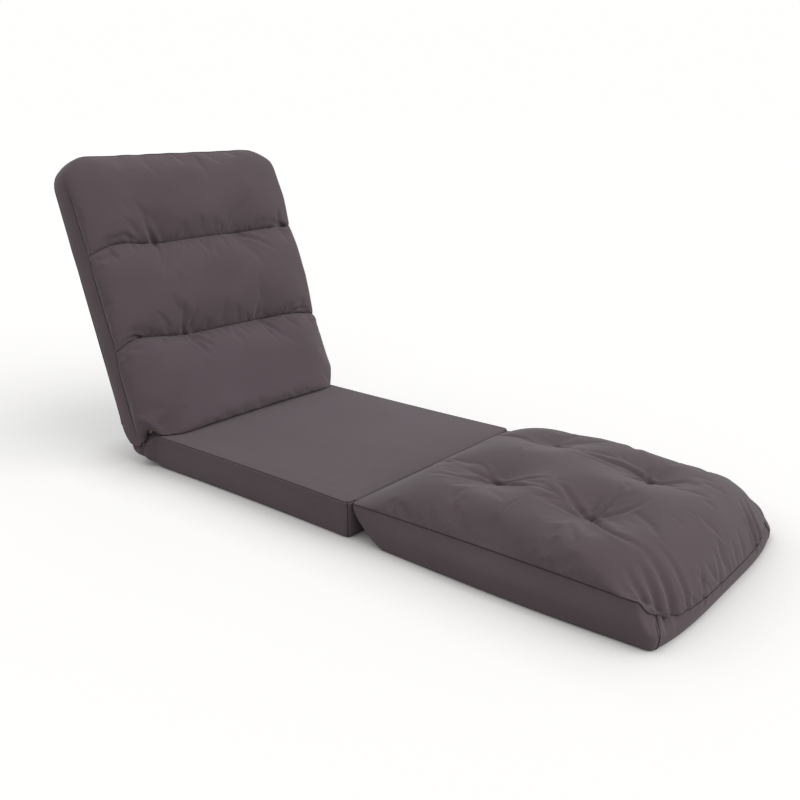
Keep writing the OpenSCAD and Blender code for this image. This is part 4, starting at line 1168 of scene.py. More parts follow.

# %% [markdown]
# The back's front swells in the same way, held at its edges, its two seams and the part that
# tucks under. It crosses the joint between seat and back, so it doesn't ride one body.

# %% Swell the back's front panel
SEAT_TOP_CLEAR = 79.2 * MM
OVER_SEAT_Y = 302 * MM
OVER_SEAT_X = 278 * MM
THREAD_LIFT = 0.2 * MM
BACK_FOLDS = (
    ([(-128, 452), (-140, 468), (-150, 490), (-154, 528)], 7.0, 6.0),
    ([(-195, 462), (-211, 474), (-237, 471), (-278, 461)], 6.0, 3.0),
    ([(-128, 446), (-134, 424), (-146, 399)], 6.0, 4.0),
    ([(-292, 424), (-275, 430), (-257, 428), (-235, 436)], 6.0, 4.0),
    ([(-258, 440), (-254, 428), (-258, 408)], 5.0, 3.0),
    ([(60, 452), (84, 467), (99, 493)], 6.0, 3.5),
    ([(288, 448), (266, 465), (262, 496)], 6.0, 4.0),
    ([(282, 450), (240, 464), (210, 468)], 6.0, 3.5),
    ([(124, 446), (150, 430), (184, 408), (214, 383)], 6.5, 4.5),
    ([(-116, 228), (-122, 244), (-120, 269), (-114, 299)], 6.5, 5.5),
    ([(-112, 229), (-102, 245), (-90, 264), (-74, 298)], 6.0, 4.5),
    ([(-108, 221), (-88, 202), (-65, 176)], 6.0, 4.5),
    ([(-115, 220), (-102, 194), (-89, 152)], 6.0, 4.0),
    ([(-240, 242), (-262, 246), (-288, 238), (-300, 222)], 4.0, 4.5),
    ([(-296, 206), (-284, 218), (-259, 214), (-235, 220)], 5.0, 4.0),
    ([(118, 219), (132, 196), (156, 160)], 6.5, 5.0),
    ([(112, 218), (116, 184), (131, 155)], 5.5, 3.5),
    ([(230, 226), (262, 228), (294, 216)], 4.0, 4.0),
    ([(296, 196), (296, 170), (292, 146)], 6.0, 3.5),
    ([(104, 229), (112, 256), (133, 282)], 7.0, 3.5),
)
front_held = edge_held(front.shape[:2])
front_held[list(seam_rows), :] = 1
front_held[-UNDER_ROWS:] = 1
front = swell(front, front_held, pressure=4.0, slack=0.010, frames=28, cap=10 * MM, bending=4.0)
front = creased(refined(front), BACK_FOLDS)
seam_rows = tuple(2 * row for row in seam_rows)
front_placed = back_place(front)
over_seat = (front_placed[..., 1] < OVER_SEAT_Y) & (np.abs(front_placed[..., 0]) < OVER_SEAT_X)
front_placed[..., 2] = np.where(
    over_seat, np.maximum(front_placed[..., 2], SEAT_TOP_CLEAR), front_placed[..., 2])
front_panel = as_cloth(grid_mesh("back_front_panel", turned_edges(
    front_placed, ["first_row", "first_col", "last_col"], -FORWARD)), levels=0)
apply_modifiers(front_panel)
finished(front_panel, COVER)
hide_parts("back_cover_front", "crease_roll")
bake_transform(front_panel)
for number, row in enumerate(seam_rows):
    lifted = front[row, 1:-1] + [0, 0, THREAD_LIFT]
    seam_thread(f"back_channel_thread_{number}", back_place(lifted), "back")
print("the back's front panel has", len(front_panel.data.polygons), "faces")

# %% [markdown]
# A plain band runs up one side of the back, over the top and down the other. Its lower ends are
# cut round, since the back rolls on its lower end as it reclines. Its front edge is the front
# panel's own, wavy where that panel is pinched, and a calmer copy of that line leads to the rear.

# %% The back's band
BAND_REAR_INSET = 3 * MM
END_FADE = 120 * MM
EDGE_CALM = 14
BACK_BAND_ROWS = 26
BACK_BELLY = 3.6 * MM
BACK_WAVE = 1.0 * MM
BACK_PULL = 1.4 * MM
CALM_FROM = 60 * MM
BACK_THREAD_R = 1.3 * MM
SIDE_END = np.array([(27, 5), (20, 0), (8, 0), (-4, 4), (-15, 12), (-24, 27), (-29, 44), (-30, 60)]) * MM


def side_end_u(n):
    """Where the side of the back ends below, cut round from its front to its rear."""
    return np.interp(-n, -SIDE_END[:, 0], SIDE_END[:, 1])


front_edge = np.concatenate([front[::-1, -1], front[0, -2::-1], front[1:, 0]])
calm_edge = calmed(front_edge, EDGE_CALM)
edge_out = outward_of(calm_edge)
f = np.linspace(0, 1, BACK_BAND_ROWS)[:, None]
calm = smooth(f / 0.5) * ramp(front_edge[:, 1], CALM_FROM, 60 * MM)[None]
band_start = lerp(front_edge[None], calm_edge[None], calm[..., None])
low_end = np.clip(1 - (front_edge[:, 1] - 5 * MM) / END_FADE, 0, 1) ** 2 * (front_edge[:, 1] < 0.3)
band_n = lerp(band_start[..., 2], -BACK_HALF_T, f)
band_u = band_start[..., 1] + (side_end_u(band_n) - side_end_u(band_n[:1])) * low_end[None]
straight = back_side_x(front_edge[:, 1], 0) - back_side_x(front_edge[:, 1])
band_x = band_start[..., 0] + np.sign(front_edge[:, 0]) * straight * smooth(f)
band = np.stack([band_x, band_u, band_n], axis=-1)
band_wave = ripple(band, 70 * MM, 2.3)
band_pull = ripple(band * [1, 1, 0.15], 15 * MM, 8.8) * np.exp(-f * 6) * np.minimum(1, f * 8)
out = BACK_BELLY * np.sin(np.pi * f) ** BELLY_POWER - BAND_REAR_INSET * f ** 2
out = out + BACK_WAVE * band_wave * np.sin(np.pi * f) + BACK_PULL * band_pull
band = band + (out * (1 - 0.8 * low_end[None]))[..., None] * edge_out[None]
back_band = as_cloth(grid_mesh("back_side_band", back_place(band)), levels=0)
finished(back_band, COVER, "back")
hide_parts("back_cover_boxing")
seam_thread("back_seam_thread", back_place(front_edge), "back", radius=BACK_THREAD_R)
seam_thread("back_rear_thread", back_place(band[-1]), "back")
print("the back's band:", band.shape[0], "rows of", band.shape[1], "points")

# %% [markdown]
# The rear is one cloth that starts in the crease, wraps the rounded lower end and goes up to the
# top. It lies flat where the zip is, and it has two slots that the hinges swing in. Its rows
# crowd together towards the top, where the corners are round.

# %% The back's rear panel and lower end
REAR_BULGE = 6 * MM
REAR_WAVE = 0.9 * MM
REAR_FLAT_U = 60 * MM
BACK_ZIP_U = 80 * MM
BACK_ZIP_HALF = 213 * MM
NOTCH_X = (228.8 * MM, 241.2 * MM)
NOTCH_TOP = 17.5 * MM
END_ROWS = 34
REAR_ROWS = 84

notch_shares = [edge / BACK_HALF_W for edge in NOTCH_X]
half_cols = np.concatenate([
    np.linspace(0, notch_shares[0], 30), np.linspace(notch_shares[0], notch_shares[1], 3)[1:],
    np.linspace(notch_shares[1], 1, 12)[1:]])
rear_s = np.concatenate([-half_cols[:0:-1], half_cols])[None]
middle_end = spline(np.array([
    (27, 31), (14, 28.5), (2, 27.5), (-9, 25), (-17, 18), (-21, 6), (-21, -6), (-17, -18), (-8, -27),
    (4, -30), (30, -30), (60, -30),
]) * MM, END_ROWS)
side_end = spline(SIDE_END[:, ::-1], END_ROWS)
rear_reach = BACK_LEN - BAND_REAR_INSET - REAR_FLAT_U
rear_u = REAR_FLAT_U + rear_reach * np.sin(np.linspace(0, np.pi / 2, REAR_ROWS))[1:]
rear_flat = np.stack([rear_u, np.full(len(rear_u), -BACK_HALF_T)], axis=-1)
middle_rear = np.concatenate([middle_end, rear_flat])[:, None]
side_rear = np.concatenate([side_end, rear_flat])[:, None]
corner = ramp(np.abs(rear_s), 0.83, 0.17)
u = lerp(middle_rear[..., 0], side_rear[..., 0], corner)
n = lerp(middle_rear[..., 1], side_rear[..., 1], corner)
x = rear_s * (back_side_x(u + BAND_REAR_INSET, 0) - BAND_REAR_INSET)
rise = np.clip((u - 20 * MM) / (BACK_LEN - 20 * MM), 0, 1)
bulge = REAR_BULGE * dome(rear_s, 4) * dome(2 * rise - 1, 4) * (n < 0)
near_zip = ramp(np.abs(u - BACK_ZIP_U), 18 * MM, 25 * MM)
beside_zip = smooth((np.abs(x) - BACK_ZIP_HALF - 4 * MM) / (30 * MM))
bulge = bulge * np.maximum(near_zip, beside_zip)
rear = np.stack([x, u, n - bulge], axis=-1)
rear[..., 2] -= REAR_WAVE * ripple(rear, 120 * MM, 4.4) * (bulge > 0) * np.minimum(near_zip, 1)
cell_x = np.abs((rear_s[0, :-1] + rear_s[0, 1:]) / 2) * BACK_HALF_W
in_notch = (cell_x > NOTCH_X[0]) & (cell_x < NOTCH_X[1])
cell_u = (u[:-1, :-1] + u[1:, 1:]) / 2
cell_n = (n[:-1, :-1] + n[1:, 1:]) / 2
whole = ~(in_notch[None] & (cell_n > -NOTCH_TOP - 4 * MM) & (cell_u < NOTCH_TOP))
rear_panel = as_cloth(grid_mesh("back_rear_panel", back_place(rear), keep=whole))
finished(rear_panel, COVER, "back")
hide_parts("back_cover_rear")
print("rear panel:", rear.shape, "faces left out for the hinges:", int((~whole).sum()))

# %% [markdown]
# The seat is firm foam in a boxed cover, so it stays flat and crisp. What makes it cloth is small:
# a slight crown, faint slack near its front corner, a rolled lip under the seam that catches the
# light, and the upright seams on the corners. Its rows of points crowd together near the
# edges, where the lip and the seam need them.

# %% The seat's panels
SEAT_DRAW = 4 * MM
SEAT_CORNER_R = 14 * MM
SEAT_CROWN = 3 * MM
SEAT_REAR_ROUND = 22 * MM
SEAT_REAR_LIFT = 9 * MM
SEAT_SLACK = 0.6 * MM
SEAT_HEAVE = 0.9 * MM
CORNER_SLACK = 1.2 * MM
SLACK_CORNER = (-215 * MM, -250 * MM)
RIM = np.array([0, 1.2, 2.6, 4.2, 6.0, 8.0, 11.0, 15.0, 20.0]) * MM


def rimmed(half, count):
    """Shares from 1 to -1 along a panel, close together near both edges."""
    edge = 1 - RIM / half
    inner = np.linspace(edge[-1], -edge[-1], count)[1:-1]
    return np.concatenate([edge, inner, -edge[::-1]])


def seat_plan(s, t, inset=0.0):
    """Places on the seat for shares across it and along it, both from -1 to 1."""
    x = s * (SEAT_HALF_W - inset - SEAT_DRAW * (1 - t * t)
             - corner_cut((1 - np.abs(t)) * SEAT_HALF_L, SEAT_CORNER_R))
    return x, t * (SEAT_HALF_L - inset) + 0 * s


def seat_lift(y):
    """The underside's rise where it rounds up into the crease."""
    return SEAT_REAR_LIFT * smooth((y - SEAT_HALF_L + SEAT_REAR_ROUND) / SEAT_REAR_ROUND) ** 1.5


s, t = np.meshgrid(-rimmed(SEAT_HALF_W, 70), rimmed(SEAT_HALF_L, 76))
x, y = seat_plan(s, t)
crown = SEAT_CROWN * dome(s, 4) * dome(t, 4)
spot = np.stack([x, y, 0 * x], axis=-1)
slack = ripple(spot * [1, 0.35, 1], 55 * MM, 7.7) * SEAT_SLACK
slack = slack + ripple(spot, 160 * MM, 3.1) * SEAT_HEAVE
front_corner = bell(np.hypot(x - SLACK_CORNER[0], y - SLACK_CORNER[1]), 55 * MM)
slack = slack + front_corner * ripple(spot * [0.3, 1, 1], 22 * MM, 1.9) * CORNER_SLACK
inside = dome(s, 6) * dome(t, 6)
seat_top = np.stack([x, y, SEAT_H + crown + slack * inside], axis=-1)
seat_cover = as_cloth(grid_mesh("seat_top_panel", turned_edges(seat_top, ALL_SIDES, DOWN)))
finished(seat_cover, COVER, "seat")
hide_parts("seat_cover_top")
print("seat's top:", seat_top.shape, "points up to", round(float(seat_top[..., 2].max()), 4))

# %% [markdown]
# The seat's band is one loop that starts on the top panel's edge. The lip stands out just under
# the seam, the middle has a slight belly, and the foot turns in at the floor. The base is flat
# non-slip cloth, and a thread lies in the top seam and on each upright corner.

# %% The seat's band, base and threads
LIP = 2.0 * MM
LIP_HEIGHT = 2.2 * MM
SEAT_BELLY = 2.2 * MM
SEAT_WAVE = 0.7 * MM
SEAT_TURN = 3.0 * MM
SEAT_THREAD_R = 0.8 * MM
SEAT_BASE_INSET = 4 * MM
BAND_SHARES = np.array([0, 0.012, 0.026, 0.045, 0.075, 0.12, 0.2, 0.3, 0.4, 0.5, 0.6, 0.7, 0.8, 0.88,
                        0.94, 0.975, 1])[:, None]

seat_edge = np.concatenate([
    seat_top[::-1, -1][:-1], seat_top[0, ::-1][:-1], seat_top[:, 0][:-1], seat_top[-1][:-1]])
seat_out = outward_of(seat_edge, closed=True)
low_z = FLOOR_GAP + seat_lift(seat_edge[:, 1])
band_z = lerp(seat_edge[:, 2][None], low_z[None], BAND_SHARES)
drop = seat_edge[:, 2][None] - band_z
zip_room = side_zip_flat(0.0, SEAT_H / 2)
seat_band = np.repeat(seat_edge[None], len(BAND_SHARES), axis=0)
seat_band[..., 2] = band_z
belly = SEAT_BELLY * np.sin(np.pi * BAND_SHARES) * zip_room(seat_band)
wave = SEAT_WAVE * ripple(seat_band, 110 * MM, 6.2) * np.sin(np.pi * BAND_SHARES) * zip_room(seat_band)
turned = SEAT_TURN * ramp(BAND_SHARES, 0.93, 0.07)
lip = LIP * smooth(drop / LIP_HEIGHT) * (1 - ramp(drop, 4 * MM, 8 * MM))
seat_band = seat_band + (belly + wave + lip - turned)[..., None] * seat_out[None]
hem = seat_band[-1] - seat_out * HEM + [0, 0, MM]
seat_side = as_cloth(grid_mesh("seat_side_band", np.concatenate([seat_band, hem[None]]), wrap=True))
finished(seat_side, COVER, "seat")
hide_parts("seat_cover_boxing")
s, t = np.meshgrid(np.linspace(1, -1, 56), np.linspace(1, -1, 60))
x, y = seat_plan(s, t, SEAT_BASE_INSET)
seat_bottom = np.stack([x, y, FLOOR_GAP + seat_lift(y)], axis=-1)
seat_base = as_cloth(grid_mesh("seat_base_panel", seat_bottom))
finished(seat_base, BASE, "seat")
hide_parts("seat_cover_base")
seam_thread("seat_seam_thread", seat_edge, "seat", closed=True, radius=SEAT_THREAD_R)
for number, (side_x, side_y) in enumerate(((-1, -1), (1, -1), (1, 1), (-1, 1))):
    column = int(np.argmax(side_x * seat_out[:, 0] + side_y * seat_out[:, 1]))
    seam_thread(f"seat_corner_thread_{number}", seat_band[:, column], "seat", radius=SEAT_THREAD_R)
print("the seat's band:", seat_band.shape[0], "rows of", seat_band.shape[1], "points")

# %% [markdown]
# Narrow cloths close the gaps between the cushions. The first is a gutter that runs under the
# crease. It is part of a drum round the hinge pivot, so the back's lower end can roll in it.

# %% The gutter under the crease
GUTTER_R = 34.4 * MM
GUTTER_HALF = 258 * MM
GUTTER_ANGLES = (14, -94)
GAP_CLOTH_T = 1.2 * MM
turn, x = np.meshgrid(np.linspace(0, 1, 30), np.linspace(-GUTTER_HALF, GUTTER_HALF, 90), indexing="ij")
angle = np.radians(lerp(*GUTTER_ANGLES, turn))
gutter = np.stack([
    x, PIVOT_Y - GUTTER_R * np.cos(angle), PIVOT_Z + GUTTER_R * np.sin(angle)], axis=-1)
gutter_cloth = as_cloth(grid_mesh("crease_gutter_cloth", gutter), thickness=GAP_CLOTH_T)
finished(gutter_cloth, COVER, "seat")
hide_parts("crease_gutter")
print("the gutter turns through", GUTTER_ANGLES[0] - GUTTER_ANGLES[1], "degrees round the pivot")

# %% [markdown]
# At each end of the crease a small gusset hangs in folds between the seat and the back. Two lines
# of points give its top and its foot, from the seat's side to the back's. Above, a flap of it
# goes up inside the back, and below, it turns in under the gutter, so that no light comes through
# at any angle of the back. Both gussets are one grid, mirrored.

# %% Gussets at the ends of the crease
GUSSET_TOP = np.array([
    (273, 286, 73), (279, 295, 66.5), (287, 304, 59), (291, 312, 51.5), (293, 322, 47.5),
    (294, 334, 45.5), (294, 346, 46.5), (292, 356, 51), (287, 367, 60)]) * MM
GUSSET_LOW = np.array([
    (273, 286, 9), (281, 297, 12), (289, 307, 18), (291, 315, 23), (293, 328, 25),
    (293, 341, 27), (292, 353, 32), (288, 361, 41), (285, 367, 55)]) * MM
UNDER_LINE = np.array([
    (304, 27), (312, 16.4), (322, 10.2), (335, 7.8), (345, 14), (356, 24), (367, 40)]) * MM
FLAP = np.array([-36, 8, 34]) * MM
GUSSET_COLS = 44
GUSSET_ROWS = 22
UNDER_COLS = 8
FLAP_ROWS = 5
CRUMPLE = 3 * MM
GUSSET_TUCK = 5 * MM

gusset_top = spline(GUSSET_TOP, GUSSET_COLS)
gusset_low = spline(GUSSET_LOW, GUSSET_COLS)
gusset_in = gusset_low.copy()
gusset_in[:, 0] = GUTTER_HALF - 2 * MM
gusset_in[:, 1] = np.maximum(gusset_low[:, 1], UNDER_LINE[0, 0])
gusset_in[:, 2] = np.interp(gusset_in[:, 1], UNDER_LINE[:, 0], UNDER_LINE[:, 1])
down = np.linspace(0, 1, GUSSET_ROWS)[:, None]
along = np.linspace(0, 1, GUSSET_COLS)[None]
side_cloth = lerp(gusset_top[None], gusset_low[None], down[..., None])
under_shares = np.linspace(0, 1, UNDER_COLS)[1:, None, None]
under_cloth = lerp(gusset_low[None], gusset_in[None], under_shares)
crumple = ripple(np.stack(np.broadcast_arrays(along * 0.06, down * 0.02, 0), axis=-1), 9 * MM, 9.3)
loose = np.sin(np.pi * down) * ramp(along, 0.35, 0.2)
side_cloth[..., 0] += (CRUMPLE + CRUMPLE * crumple) * loose
side_cloth[..., 0] -= GUSSET_TUCK * bell(along - 0.44, 0.035) * np.sin(np.pi * down) ** 0.5
gusset_flap = side_cloth[0] + FLAP * np.linspace(1, 0, FLAP_ROWS)[:-1, None, None]
gusset_points = np.concatenate([gusset_flap, side_cloth, under_cloth])
for number, side in enumerate((-1, 1)):
    gusset = (gusset_points * [side, 1, 1])[:, ::side]
    gusset_cloth = as_cloth(grid_mesh(f"crease_gusset_{number}", gusset), thickness=GAP_CLOTH_T)
    apply_modifiers(gusset_cloth)
    finished(gusset_cloth, COVER)
    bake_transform(gusset_cloth)
print("each gusset:", gusset_points.shape[0], "rows of", gusset_points.shape[1], "points")

# %% [markdown]
# At the leg pad a thin strip bridges the two top seams. It is a low arch across the gap.

# %% The strip between seat and leg pad
STRIP_HALF = 256 * MM
STRIP_T = 0.8 * MM
STRIP_ARCH = np.array([
    (-299.2, 74.6), (-300.1, 75.6), (-300.9, 75.8), (-301.8, 75.3), (-302.8, 74.2)]) * MM
strip_x = np.linspace(STRIP_HALF, -STRIP_HALF, 60)
strip = np.stack(np.broadcast_arrays(
    strip_x[:, None], STRIP_ARCH[None, :, 0], STRIP_ARCH[None, :, 1]), axis=-1)
hinge_strip = as_cloth(grid_mesh("leg_hinge_strip", strip.transpose(1, 0, 2)[:, ::-1]), STRIP_T)
apply_modifiers(hinge_strip)
finished(hinge_strip, COVER)
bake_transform(hinge_strip)
print("the strip is", 2 * STRIP_HALF, "m long")

# %% [markdown]
# Stuffing fills the covers. The fibre fills take their form from the settled cloth above them,
# a few millimetres inside, so they never show through. The lowest one leaves room in the crease,
# where the cloth folds up on itself when the back stands upright.

# %% Fibre fills under the settled cloth
FILL_GAP = 4.5 * MM
FILL_STEP = 4
LEG_FILL_GAP = 9 * MM
LEG_FOAM_TOP = 65.6 * MM
CREASE_ROOM = 22 * MM
FILL_NARROW = 0.14
FILL_FOOT_U = 38 * MM


def closed_between(name, top, low):
    """A closed form between an upper and a lower grid of the same size."""
    rows, cols = top.shape[:2]
    count = rows * cols
    index = np.arange(count).reshape(rows, cols)
    upper = squares(index)
    rim = np.concatenate([index[0, :-1], index[:-1, -1], index[-1, :0:-1], index[:0:-1, 0]])
    ahead = np.roll(rim, -1)
    sides = np.stack([rim, ahead, ahead + count, rim + count], axis=-1)
    faces = np.concatenate([upper, upper[:, ::-1] + count, sides])
    return mesh_piece(name, [top, low], faces)


def inside_of(points, gap=FILL_GAP):
    """The same grid a little inside the cloth, and drawn in from the sides."""
    inner = points - grid_normals(points) * gap
    return inner[::FILL_STEP, ::FILL_STEP] * [0.975, 1, 1]


channel_ends = [4, seam_rows[0], seam_rows[1], len(front) - 2]
for number, fill_name in enumerate(("back_fill_upper", "back_fill_middle", "back_fill_lower")):
    rows = slice(channel_ends[number] + 2, channel_ends[number + 1])
    top = inside_of(front[rows])
    low = top.copy()
    low[..., 2] = FOAM_FRONT
    low[..., 1] = np.maximum(low[..., 1], FILL_FOOT_U)
    low_share = smooth((90 * MM - top[..., 1]) / (60 * MM))
    top[..., 2] = np.maximum(top[..., 2] - CREASE_ROOM * low_share, FOAM_FRONT + MM)
    for grid in (top, low):
        grid[..., 0] *= 1 - FILL_NARROW * smooth((130 * MM - grid[..., 1]) / (60 * MM))
    stuffing = closed_between(f"{fill_name}_fibre", back_place(top), back_place(low))
    lower = number == 2
    finished(stuffing, FIBRE, None if lower else "back")
    if lower:
        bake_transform(stuffing)
    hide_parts(fill_name)

leg_inner = inside_of(leg_top, LEG_FILL_GAP)[2:-3, 1:-1]
leg_low = leg_inner.copy()
leg_low[..., 2] = np.minimum(LEG_FOAM_TOP, leg_inner[..., 2] - 2 * MM)
leg_stuffing = closed_between("leg_fibre", leg_inner, leg_low)
finished(leg_stuffing, FIBRE, "leg")
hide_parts("leg_fill")
print("fibre fills:", number + 1, "in the back and one in the leg pad")

# %% [markdown]
# The foam blocks are the frame's own solids, remeshed so that their edges soften as cut foam's
# do. A function for each cushion then keeps the block's points inside its cover.

# %% Foam with softened edges
FOAM_VOXEL = 7 * MM
FOAM_GRAIN = 0.5 * MM
FOAM_CLEAR = 4 * MM


def soft_block(name, node, body, keep_in):
    """One of the frame's foam solids with soft edges and a fine grain."""
    piece = placed(name, frame["nodes"][node].data.copy())
    even = piece.modifiers.new("even", "REMESH")
    even.mode = "VOXEL"
    even.voxel_size = FOAM_VOXEL
    soften = piece.modifiers.new("soften", "SMOOTH")
    soften.factor = 0.5
    soften.iterations = 3
    apply_modifiers(piece)
    points = np.empty(len(piece.data.vertices) * 3)
    piece.data.vertices.foreach_get("co", points)
    points = keep_in(points.reshape(-1, 3))
    points = points + FOAM_GRAIN * ripple(points, 25 * MM, 2.7)[:, None]
    piece.data.vertices.foreach_set("co", points.ravel())
    piece.data.shade_smooth()
    finished(piece, FOAM, body)
    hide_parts(node)
    return piece


def in_seat(points):
    points = points * [0.982, 0.985, 1]
    points[:, 2] = np.maximum(points[:, 2], seat_lift(points[:, 1]) + FOAM_CLEAR)
    return points


def in_leg(points):
    middle_y = HINGE_Y - LEG_LEN / 2
    points = (points - [0, middle_y, 0]) * [0.955, 0.965, 1] + [0, middle_y, 0]
    s = np.clip(points[:, 0] / LEG_HALF_W, -1, 1)
    t = np.clip((HINGE_Y - points[:, 1] - LEG_BOW * (1 - s * s)) / LEG_LEN, 0, 1)
    roof = leg_seam_height(s, t) + 50 * MM * leg_rise(s, t) - 14 * MM
    floor_z = leg_low_height(points[:, 1]) + FOAM_CLEAR
    points[:, 2] = np.maximum(np.minimum(points[:, 2], roof), np.minimum(floor_z, roof))
    return points


def in_back(points):
    from_pivot = points - PIVOT
    u = from_pivot @ UP
    reach = np.abs(points[:, 0]).max() * (0.97 - 0.07 * smooth((110 * MM - u) / (60 * MM)))
    x = np.clip(points[:, 0], -reach, reach)
    n = from_pivot @ FORWARD
    near_side = ramp(np.abs(x), 240 * MM, 50 * MM)
    u = np.maximum(u, near_side * (side_end_u(n) + 10 * MM) - (1 - near_side) * 15 * MM)
    u = np.minimum(u, BACK_LEN - 8 * MM)
    return back_place(np.stack([x, u, n], axis=-1))


for node, body, keep_in in (
    ("seat_foam_upper", "seat", in_seat), ("seat_foam_lower", "seat", in_seat),
    ("leg_foam", "leg", in_leg),
    ("back_foam_front", "back", in_back), ("back_foam_rear", "back", in_back),
):
    block = soft_block(f"{node}_block", node, body, keep_in)
    print(block.name, len(block.data.polygons), "faces")

# %% [markdown]
# The zips let the covers come off for washing. Each is a woven tape with two rows of small teeth
# that mesh in the middle, so the teeth are made one by one, on alternate sides.

# %% Zips
ZIP_W = 26 * MM
ZIP_T = 0.8 * MM
TOOTH_PITCH = 1.6 * MM
TOOTH_SIZE = np.array([1.0, 2.6, 1.2]) * MM
TOOTH_ASIDE = 0.8 * MM
ZIP_POINTS = 40
ZIP_END = 10 * MM


def zip_on(name, node, body, line, out):
    """A tape and teeth along a line of points on a panel that faces out."""
    out = np.array(out, float)
    along = unit(np.gradient(line, axis=0))
    across = np.cross(along, out)
    spread = np.linspace(-ZIP_W / 2, ZIP_W / 2, 7)[:, None, None]
    tape = grid_mesh(f"{name}_tape", line[None] + across[None] * spread + out * ZIP_T)
    finished(as_cloth(tape, ZIP_T, levels=0), ZIP_TAPE, body)
    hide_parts(node)
    spots = evenly(line, int(walked_along(line)[-1] / TOOTH_PITCH))
    ahead = unit(np.gradient(spots, axis=0))
    sideways = np.cross(ahead, out)
    hand = np.where(np.arange(len(spots)) % 2, 1, -1)[:, None]
    middle = spots + sideways * hand * TOOTH_ASIDE + out * (ZIP_T + TOOTH_SIZE[2] / 2)
    verts = [middle + ahead * a * TOOTH_SIZE[0] / 2 + sideways * b * TOOTH_SIZE[1] / 2
             + out * c * TOOTH_SIZE[2] / 2 for a in (-1, 1) for b in (-1, 1) for c in (-1, 1)]
    verts = np.stack(verts, axis=1)
    box = np.array([(0, 1, 3, 2), (4, 6, 7, 5), (0, 4, 5, 1), (2, 3, 7, 6), (0, 2, 6, 4), (1, 5, 7, 3)])
    faces = (box[None] + 8 * np.arange(len(spots))[:, None, None]).reshape(-1, 4)
    teeth = mesh_piece(f"{name}_teeth", verts, faces, rounded=False)
    finished(teeth, SLIDER, body)
    return len(spots)


zip_y = np.linspace(SIDE_ZIP_HALF + ZIP_END, -SIDE_ZIP_HALF - ZIP_END, ZIP_POINTS)
seat_zip_x = seat_plan(1.0, zip_y / SEAT_HALF_L)[0]
seat_zip_line = np.stack([seat_zip_x, zip_y, np.full(ZIP_POINTS, SEAT_H / 2)], axis=-1)[::-1]
leg_zip_y = zip_y + HINGE_Y - LEG_LEN / 2
zip_row = leg_band_points[BAND_ROWS // 2, (edge_s == 1) & (edge_t > 0.02) & (edge_t < 0.98)]
leg_zip_x = np.interp(leg_zip_y, zip_row[:, 1], zip_row[:, 0])
leg_zip_line = np.stack([leg_zip_x, leg_zip_y, np.full(ZIP_POINTS, LEG_SEAM_H / 2)], axis=-1)[::-1]
back_zip_x = np.linspace(-BACK_ZIP_HALF, BACK_ZIP_HALF, ZIP_POINTS)
back_zip_line = back_place(np.stack(
    np.broadcast_arrays(back_zip_x, BACK_ZIP_U, -BACK_HALF_T), axis=-1))
print(zip_on("seat_zip", "seat_zip", "seat", seat_zip_line, ACROSS), "teeth on the seat's zip")
print(zip_on("leg_zip", "leg_zip", "leg", leg_zip_line, ACROSS), "teeth on the leg pad's zip")
print(zip_on("back_zip", "back_zip", "back", back_zip_line, -FORWARD), "teeth on the back's zip")

# %% [markdown]
# An even white world gives the plain level at which a colour renders as it is written. What the
# camera sees of it, directly or in a gloss, is full white, as a studio's backdrop is.

# %% White world
WORLD_LIGHT = 0.60
WORLD_TINT = (1.0, 0.995, 0.985, 1)

scene = bpy.context.scene
world = bpy.data.worlds.new("white_room")
scene.world = world
world.use_nodes = True
world_nodes = world.node_tree.nodes
background = world_nodes["Background"]
path = world_nodes.new("ShaderNodeLightPath")
seen = world_nodes.new("ShaderNodeMix")
seen.inputs["A"].default_value = WORLD_LIGHT
seen.inputs["B"].default_value = 1.0
rays = world_nodes.new("ShaderNodeMath")
rays.operation = "MAXIMUM"
world.node_tree.links.new(path.outputs["Is Camera Ray"], rays.inputs[0])
world.node_tree.links.new(path.outputs["Is Glossy Ray"], rays.inputs[1])
world.node_tree.links.new(rays.outputs[0], seen.inputs["Factor"])
world.node_tree.links.new(seen.outputs[0], background.inputs["Strength"])
background.inputs["Color"].default_value = WORLD_TINT
print("world at", WORLD_LIGHT, "of white")
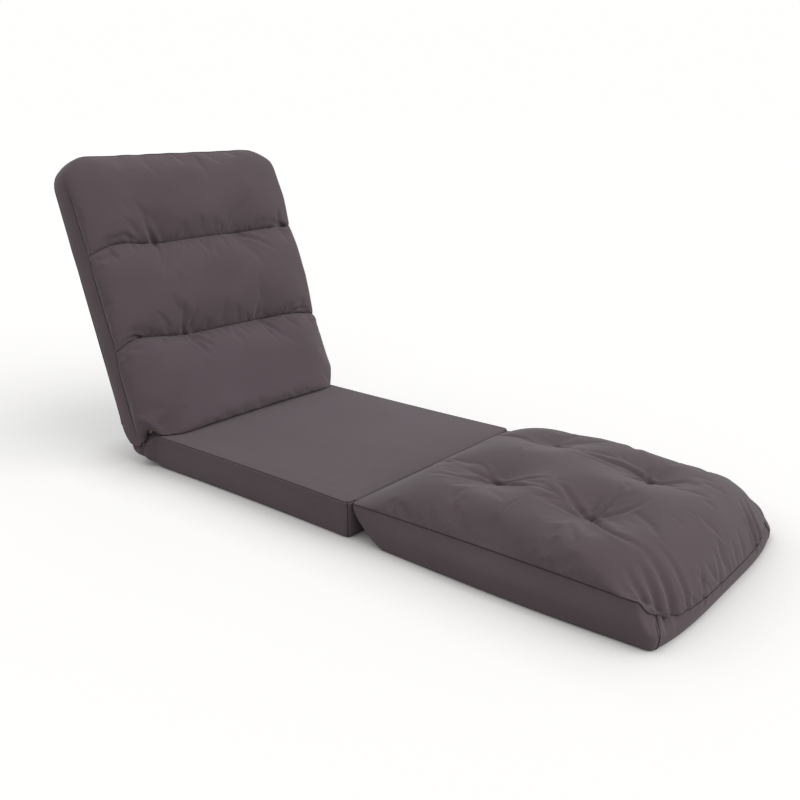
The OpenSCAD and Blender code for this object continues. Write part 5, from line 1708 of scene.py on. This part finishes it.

# %% [markdown]
# The floor is pale and glows a little, so that it meets the white behind it without an edge. Near
# the chair, where ambient occlusion finds it hemmed in, the glow fades and its colour turns darker
# and warmer: a painted shadow along the line where the chair meets the floor. Only the camera sees
# the glow and that painted shadow: the light that the floor throws back on the chair has a plainer tone.

# %% Floor
FLOOR_SEEN = (0.955, 0.945, 0.935)
FLOOR_GLOW = (0.26, 0.265, 0.27)
# The bounce colour is also the colour of the painted shadow near the chair.
FLOOR_BOUNCE_AND_SHADOW = (0.5, 0.475, 0.455)
FLOOR_SIZE = 80.0
CONTACT_REACH = 0.16
BLACK = (0.0, 0.0, 0.0)

floor_material = Finish("pale_floor", Roughness=0.9, Specular_IOR_Level=0.0, Emission_Strength=1.0)
to_camera = floor_material.node("ShaderNodeLightPath")
nearness = floor_material.node(
    "ShaderNodeAmbientOcclusion", {"samples": 16}, {"Distance": CONTACT_REACH}, out=1)
painted_floor_shadow = to_camera * nearness
# Painted shadow: near the chair, ambient occlusion mixes the seen colour towards the darker, warmer bounce
# colour and fades the glow.
floor_material.set(
    Base_Color=floor_material.colours(painted_floor_shadow, FLOOR_BOUNCE_AND_SHADOW, FLOOR_SEEN),
    Emission_Color=floor_material.colours(painted_floor_shadow, BLACK, FLOOR_GLOW))
floor_corners = np.array([(-1, -1, 0), (1, -1, 0), (1, 1, 0), (-1, 1, 0)]) * FLOOR_SIZE / 2
floor = mesh_piece("floor", floor_corners, [(0, 1, 2, 3)], rounded=False)
floor.data.materials.append(floor_material.material)
print("floor", FLOOR_SIZE, "m wide")

# %% [markdown]
# One large soft lamp, high beyond the foot of the leg pad, makes the tops a little lighter than
# the sides and lays the soft shadow that the photograph shows beside the chair. The camera stands
# where the photograph's did, as found by fitting the chair to its outline in the photograph.

# %% Lamp and camera
SUN_POWER = 0.85
SUN_WIDTH = 60
SUN_FROM = (0.9, -2.4, 2.4)
LENS = 41.75
SENSOR = 36.0
EYE = (-1.452, -1.399, 0.783)
AZIMUTH = math.radians(-50.478)
ELEVATION = math.radians(17.426)

sun = bpy.data.lights.new("soft_key", "SUN")
sun.energy = SUN_POWER
sun.angle = math.radians(SUN_WIDTH)
sun_object = placed("soft_key", sun)
sun_object.rotation_euler = Vector(SUN_FROM).to_track_quat("Z", "Y").to_euler()

camera_data = bpy.data.cameras.new("camera")
camera_data.lens = LENS
camera_data.sensor_width = SENSOR
camera = placed("camera", camera_data)
camera.location = EYE
level = math.cos(ELEVATION)
view = Vector((-math.sin(AZIMUTH) * level, math.cos(AZIMUTH) * level, -math.sin(ELEVATION)))
camera.rotation_euler = view.to_track_quat("-Z", "Y").to_euler()
scene.camera = camera
scene.view_settings.view_transform = "Standard"
print("camera at", EYE)
